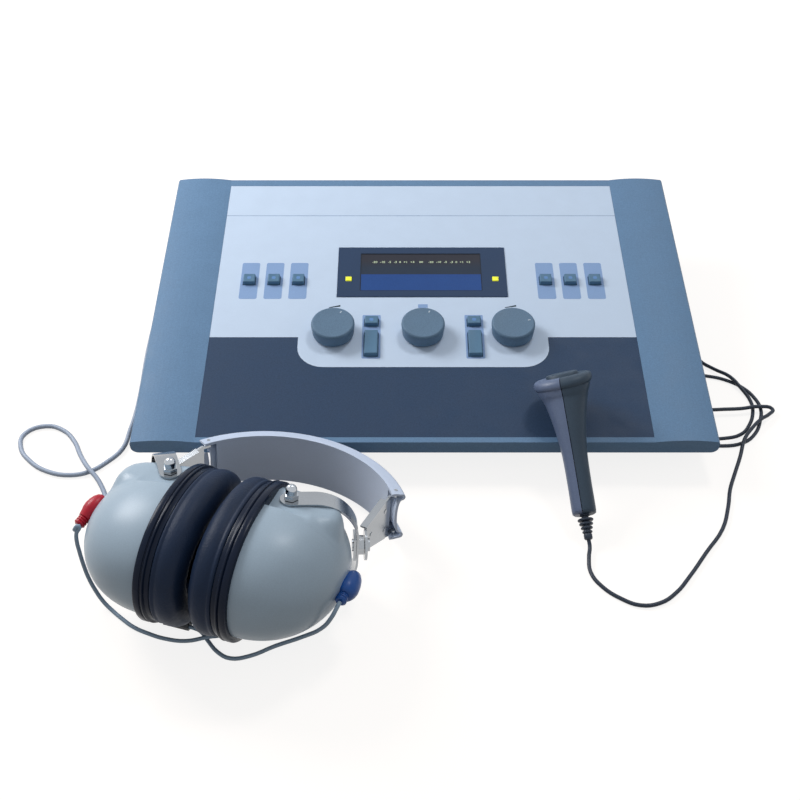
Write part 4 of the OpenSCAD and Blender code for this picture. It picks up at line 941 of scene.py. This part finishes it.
    def knob(self, node: str, u: float, turn: float) -> None:
        """Turns one knob with its rounded rim, skirt and pointer tick."""
        r, top = self.knob_r, self.knob_top
        profile = [(0, 0.6), (r - 1.6, 0.6), (r - 0.9, 0.75), (r - 0.65, 1.2), (r - 0.4, 3.5),
                   (r - 0.15, 6.5), (r, top - 1.8), (r - 0.05, top - 1.2), (r - 0.25, top - 0.75),
                   (r - 0.9, top - 0.12), (r - 1.2, top), (r - 1.8, top - 0.02),
                   (r - 2.4, top - 0.12), (r * 0.4, top - 0.16), (0, top - 0.16)]
        bm = turned_profile(profile, 96)
        bmesh.ops.create_cone(bm, cap_ends=True, segments=32, radius1=3, radius2=3, depth=11.5,
                              matrix=Matrix.Translation((0, 0, -4.75)))
        place = DECK @ Matrix.Translation((u, self.knob_v, 0)) @ turned(turn, "Z")
        piece_from(bm, node.replace("_knob", "_dial"), place, [KNOB_ABS], node, [node])
        bm = rounded_block(0.8, 1.8, top - 0.3, top - 0.03, 0.1)
        bmesh.ops.translate(bm, vec=(0, r - 3.65, 0), verts=bm.verts)
        piece_from(bm, node.replace("_knob", "_tick"), place, [TICK_INK], node)

    def key(self, name: str, node: str, u: float, v: float, w: float, d: float,
            dot: float) -> None:
        """Moulds one key with rounded edges, and prints its dot if it has one.

        Args:
            name: the piece's name.
            node: the solid that it stands for, and its body.
            u: place across the deck.
            v: place up the deck.
            w: width.
            d: depth.
            dot: side of the printed dot, or 0 for none.
        """
        high = self.key_high
        bm = rounded_block(w, d, -6.0, high, 0.7)
        top = max(bm.faces, key=lambda f: f.calc_center_median().z)
        bmesh.ops.inset_individual(bm, faces=[top], thickness=0.5, depth=-0.12)
        place = DECK @ Matrix.Translation((u, v, 0))
        piece_from(bm, name, place, [KEY_ABS], node, [node])
        if dot:
            bm = plate(Outline(0, 0, dot, dot, dot * 0.3), [], high - 0.13, high - 0.07)
            piece_from(bm, name + "_dot", place, [KEY_DOT], node)

    def keys(self) -> None:
        """Moulds the ten keys."""
        for i, u in enumerate(self.key_u):
            self.key(f"function_key_cap_{i + 1}", f"function_key_{i + 1}", u, self.key_v,
                     self.key_side, self.key_side, 2.6)
        for side, word in SIDES:
            for kind, v, w, d, dot in self.SMALL:
                node = f"{word}_{kind}"
                self.key(node + "_cap", node, side * self.small_u, v, w, d, dot)


# ---- Headset ----

@dataclass
class Cup:
    """One ear cup: shell, ring, seal and cord entry cap."""

    side: Side
    long: float = 48
    short: float = 35
    deep: float = 47.6
    ring_w: float = 8.7
    ring_lip: float = 3
    seal_end: float = -23.85
    outline_power: float = 2.1
    pad_power: float = 9.0
    pad_end: float = 43
    seat: float = 30.6

    # Depth, and half width and half height of the raised pad at the pivot
    PAD = [(0, 31, 30.6), (8, 30.5, 30.6), (15, 30, 30.6), (23, 29, 30.5), (30, 27, 29.8),
           (35, 24, 28.6), (38.5, 20, 25.5), (41, 15, 18), (43, 9, 6)]

    def build(self) -> None:
        """Builds the cup's pieces and dresses its hardware."""
        self.shell()
        self.ring()
        self.seal()
        self.entry_cap()
        dress(BLACK_ABS, f"{self.side.value}_cup_earphone")
        dress(CHROME, f"{self.side.value}_pivot_nuts")

    def add(self, bm: BMesh, word: str, finish: Finish,
            node: str | None = None, sharp: float = SHARP_DEG) -> Object:
        """Makes a piece of this cup and hides the node that it stands for."""
        name = self.side.value
        return piece_from(bm, f"{name}_{word}", self.side.cup, [finish], f"{name}_cup",
                          [f"{name}_{node}"] if node else [], sharp)

    def shell_radius(self, out: float, angle: float) -> float:
        """Gives the shell's radius at a depth and an angle, with the pivot pads blended in."""
        c, s = math.cos(angle), math.sin(angle)
        narrow = math.sqrt(max(0.0, 1 - (max(out, 0) / self.deep) ** 2.15))
        power = self.outline_power
        dome = narrow * (abs(c / self.long) ** power
                         + abs(s / self.short) ** power) ** (-1 / power)
        if c <= 0 or out > self.pad_end:
            return dome
        high_y, high_z = between(self.PAD, out, 1), between(self.PAD, out, 2)
        power = self.pad_power
        pad = ((c / high_y) ** power + (abs(s) / high_z) ** power) ** (-1 / power)
        y = pad * c
        keep = smooth_step(2.0, 8.0 + out * 0.1, y)
        pad = dome + (pad - dome) * keep if pad > dome else pad
        body = soft_max(dome, pad, 1.1)
        seat = self.seat / max(abs(s), 1e-3)
        if body > seat:
            y = body * c
            cut = smooth_step(3.4, 5.4, y) * (1 - smooth_step(21.5, 23.5, out))
            body = body + (seat - body) * cut
        return body

    def shell(self) -> None:
        """Builds the domed shell with its squared shoulders."""
        bm = bmesh.new()
        rings = 46
        depths = [self.deep * math.sin(math.pi / 2 * k / rings * 0.996) for k in range(rings + 1)]

        def point(out: float, angle: float) -> Point:
            """Places a point of the shell's skin."""
            r = self.shell_radius(out, angle)
            return out, r * math.cos(angle), r * math.sin(angle)

        loft(bm, 144, depths, point)
        self.add(bm, "cup_dome", CUP_ABS, "cup_shell", sharp=60)

    def oval_point(self, out: float, drop: float, angle: float) -> Point:
        """Places a point on the ring's oval, set in by drop."""
        a, b = self.long + self.ring_lip - drop, self.short + self.ring_lip - drop
        return out, *square_oval(a, b, 2 / self.outline_power, angle)

    def ring(self) -> None:
        """Builds the polished ring with its groove and step."""
        section = [(0.0, 9.5), (0.0, 3.2), (0.0, 0.8), (-0.25, 0.3), (-0.8, 0.0), (-3.2, 0.0),
                   (-3.6, 0.15), (-3.8, 0.6), (-4.2, 0.8), (-4.5, 0.55), (-4.7, 0.15),
                   (-5.2, 0.0), (-5.7, 0.2), (-5.9, 0.7), (-6.2, 1.3), (-6.7, 1.45),
                   (-7.9, 1.4), (-8.4, 1.6), (-8.7, 2.2), (-8.7, 9.5)]
        bm = bmesh.new()
        loft(bm, 144, list(range(len(section))),
             lambda k, angle: self.oval_point(section[int(k)][0], section[int(k)][1], angle),
             joined=True)
        self.add(bm, "cup_rim", RING_ABS, "cup_ring")

    def seal(self) -> None:
        """Builds the foam seal as a crowned oval ring with a sewn lip and soft creases."""
        start, end = -self.ring_w + 0.2, self.seal_end
        depth = start - end
        section = [(0.00, 4.0), (0.00, 1.6), (0.04, 0.7), (0.10, 0.35), (0.15, 0.75), (0.19, 1.0),
                   (0.24, 0.5), (0.34, 0.05), (0.46, 0.0), (0.58, 0.25), (0.70, 0.95),
                   (0.80, 2.2), (0.89, 4.0), (0.95, 6.2), (0.985, 8.8), (1.0, 11.6),
                   (0.99, 14.0), (0.94, 16.6), (0.84, 18.4), (0.66, 19.4), (0.44, 19.6),
                   (0.2, 19.2), (0.0, 18.4)]

        def point(k: float, angle: float) -> Point:
            """Places a point of the seal's skin, with creases that run across its width."""
            f, drop = section[int(k)]
            crease = (math.sin(angle * 23 + 1.3 * math.sin(angle * 5))
                      * math.sin(angle * 7 + 0.6)) * 0.14
            fold = smooth_step(0.6, 0.95, f) + smooth_step(10, 18, drop)
            out, y, z = self.oval_point(start - depth * f, 0.4 + drop + crease * fold, angle)
            swell = 0.25 * math.sin(angle * 2 + 0.8) * smooth_step(0.5, 1.0, f)
            return out + swell, y, z

        bm = bmesh.new()
        loft(bm, 160, list(range(len(section))), point, joined=True)
        seal = self.add(bm, "ear_seal", SEAL_SKIN, "cup_cushion", sharp=70)
        smoother = seal.modifiers.new("soft", "SUBSURF")
        smoother.levels = smoother.render_levels = 1

    def entry_cap(self) -> None:
        """Moulds the cord's entry cap, from its round back to its flared mouth."""
        index = 0 if self.side is Side.RED else 1
        mouth = Vector(Cords.cap_mouths[index])
        middle = Vector(Cords.cap_middles[index])
        line = (mouth - middle).normalized()
        long = (mouth - middle).length
        back, wide = (1.05, 0.92) if self.side is Side.RED else (1.5, 1.12)
        body = [(0.01, -8.6), (1.6, -8.3), (3.2, -7.2), (4.5, -5.2), (5.3, -2.6), (5.6, 0.2)]
        profile = [(r * wide, at * back) for r, at in body]
        profile += [(5.3 * wide, 2.6), (4.6 * wide, 4.6), (3.9 * wide, long - 3.4)]
        for k in range(3):
            at = long - 2.7 + 1.5 * k
            profile += [(2.7, at - 0.35), (3.2, at), (3.2, at + 0.6), (2.7, at + 0.95)]
        profile += [(2.4, long + 1.75), (1.3, long + 1.85), (0.01, long + 1.85)]
        middle = middle + Vector(Cords.cap_shifts[index])
        bm = turned_profile(profile, 48)
        turn = Vector((0, 0, 1)).rotation_difference(line).to_matrix().to_4x4()
        bmesh.ops.transform(bm, matrix=Matrix.Translation(middle) @ turn, verts=bm.verts)
        finish = RED_PVC if self.side is Side.RED else BLUE_PVC
        self.add(bm, "cord_cap", finish, "entry_cap", sharp=50)


@dataclass
class HeadFrame:
    """The headband with its brackets and forks."""

    def build(self) -> None:
        """Dresses the band and the metal parts."""
        dress(BAND_PVC, "headband")
        for side in Side:
            dress(SPRING_STEEL, f"{side.value}_side_bracket", f"{side.value}_side_fork")


# ---- Response handle ----

@dataclass
class ResponseHandle:
    """Two moulded half shells, the button over the head and the ribbed strain relief."""

    relief: float = 15
    grip: float = 87.5
    seam: float = 0.22
    lean: float = math.tan(math.radians(25))
    lean_from: float = 83.5
    oval_power: float = 2 / 2.3
    button_half: tuple[float, float] = (9.8, 6.4)

    # Share of the grip's length, and half width and half thickness there
    SHAPE = [(0, 6.7, 6.2), (0.02, 7.1, 6.6), (0.22, 7.1, 6.9), (0.42, 7.5, 7.5),
             (0.54, 8.5, 8.4), (0.6, 9.2, 8.9), (0.68, 10.4, 9.4), (0.77, 12, 9.9),
             (0.845, 13.9, 10.5), (0.89, 15.5, 11.2), (0.92, 16.3, 11.8)]
    RIM = [(0.924, 16.3, 11.8), (0.93, 16.9, 12.4), (0.938, 17.5, 12.9), (0.952, 17.9, 13.3),
           (0.966, 18.0, 13.4), (0.98, 17.8, 13.2), (0.99, 17.4, 12.8), (0.997, 16.8, 12.2),
           (1.002, 15.8, 11.2), (1.004, 14.2, 9.8), (1.004, 12.4, 8.6), (1.0, 11.4, 7.8)]

    def build(self) -> None:
        """Builds the handle's pieces."""
        # The left half takes the copy with painted light, the right half the copy with painted
        # shade
        self.shell("left", -1, HANDLE_LIT_SIDE_ABS)
        self.shell("right", 1, HANDLE_SHADED_SIDE_ABS)
        self.button()
        self.strain_relief()
        dress(BLACK_ABS, "response_switch")

    def shell(self, word: str, side: int, finish: Finish) -> None:
        """Builds one half shell: the whole form, cut along the seam."""
        bm = bmesh.new()
        rows = [(0.0, 1.2), (0.002, 0.5), (0.008, 0.0)]
        rows += [(k / 40, 0.0) for k in range(1, 37)] + [(0.912, 0.0), (0.92, 0.0)]
        rows = [(place, between(self.SHAPE, place, 1) - drop, between(self.SHAPE, place, 2) - drop)
                for place, drop in rows] + self.RIM

        def point(row: float, angle: float) -> Point:
            """Places a point of the shell's skin."""
            place, a, b = rows[int(row)]
            x, z = square_oval(a, b, self.oval_power, angle)
            y = self.relief + place * self.grip
            share = smooth_step(self.lean_from, self.lean_from + 10, y)
            return x, y - self.lean * z * share, z

        loft(bm, 96, list(range(len(rows))), point)
        geom = list(bm.verts) + list(bm.edges) + list(bm.faces)
        cut = bmesh.ops.bisect_plane(bm, geom=geom, plane_co=(side * self.seam, 0, 0),
                                     plane_no=(-side, 0, 0), clear_outer=True)["geom_cut"]
        bmesh.ops.edgeloop_fill(bm, edges=[g for g in cut if isinstance(g, bmesh.types.BMEdge)])
        piece_from(bm, f"{word}_grip_half", HANDLE, [finish], "response_handle",
                   [f"handle_{word}_shell"], sharp=50)

    def button(self) -> None:
        """Builds the flat button that stands over the leaning head."""
        top = self.relief + self.grip + 2.3
        wide, thick = self.button_half
        rows = [(top - 7.5, 0.0), (top - 1.0, 0.0), (top - 0.5, 0.15), (top - 0.15, 0.5),
                (top, 1.1), (top, 5.0)]

        def point(row: float, angle: float) -> Point:
            """Places a point of the button's skin."""
            y, drop = rows[int(row)]
            x, z = square_oval(wide - drop, thick - drop, self.oval_power, angle)
            return x, y - self.lean * z, z

        bm = bmesh.new()
        loft(bm, 72, list(range(len(rows))), point)
        # The button takes the copy with painted shade
        piece_from(bm, "response_button_cap", HANDLE, [HANDLE_SHADED_SIDE_ABS], "response_button",
                   ["response_button"], sharp=50)

    def strain_relief(self) -> None:
        """Spins the tapered relief with its four ribs."""
        profile = [(0.01, 0.0), (1.9, 0.0), (2.35, 0.4), (2.5, 1.0), (2.5, 3.1), (2.15, 3.5)]
        for k in range(4):
            at, r = 3.9 + 2.4 * k, 3.0 + 0.55 * k
            profile += [(2.1, at - 0.15), (r - 0.35, at), (r, at + 0.35), (r, at + 0.95),
                        (r - 0.35, at + 1.3), (2.1, at + 1.45)]
        profile += [(2.1, 13.9), (2.9, 14.1), (2.9, 16.4), (0.01, 16.4)]
        bm = turned_profile(profile, 48)
        bmesh.ops.transform(bm, matrix=turned(-90, "X"), verts=bm.verts)
        piece_from(bm, "ribbed_strain_relief", HANDLE, [DARK_CORD_PVC], "response_handle",
                   ["handle_strain_relief"], sharp=50)


def main() -> None:
    """Builds the scene: camera and cords first, then the sub-assemblies."""
    logging.basicConfig(level=logging.INFO, format="%(name)s: %(message)s")
    studio = Studio()
    studio.camera()
    Cords().build()
    log.info("cords laid")
    studio.build()
    Console().build()
    log.info("console built")
    HeadFrame().build()
    for side in Side:
        Cup(side).build()
        log.info("%s cup built", side.value)
    ResponseHandle().build()
    log.info("response handle built")


if __name__ == "__main__":
    main()
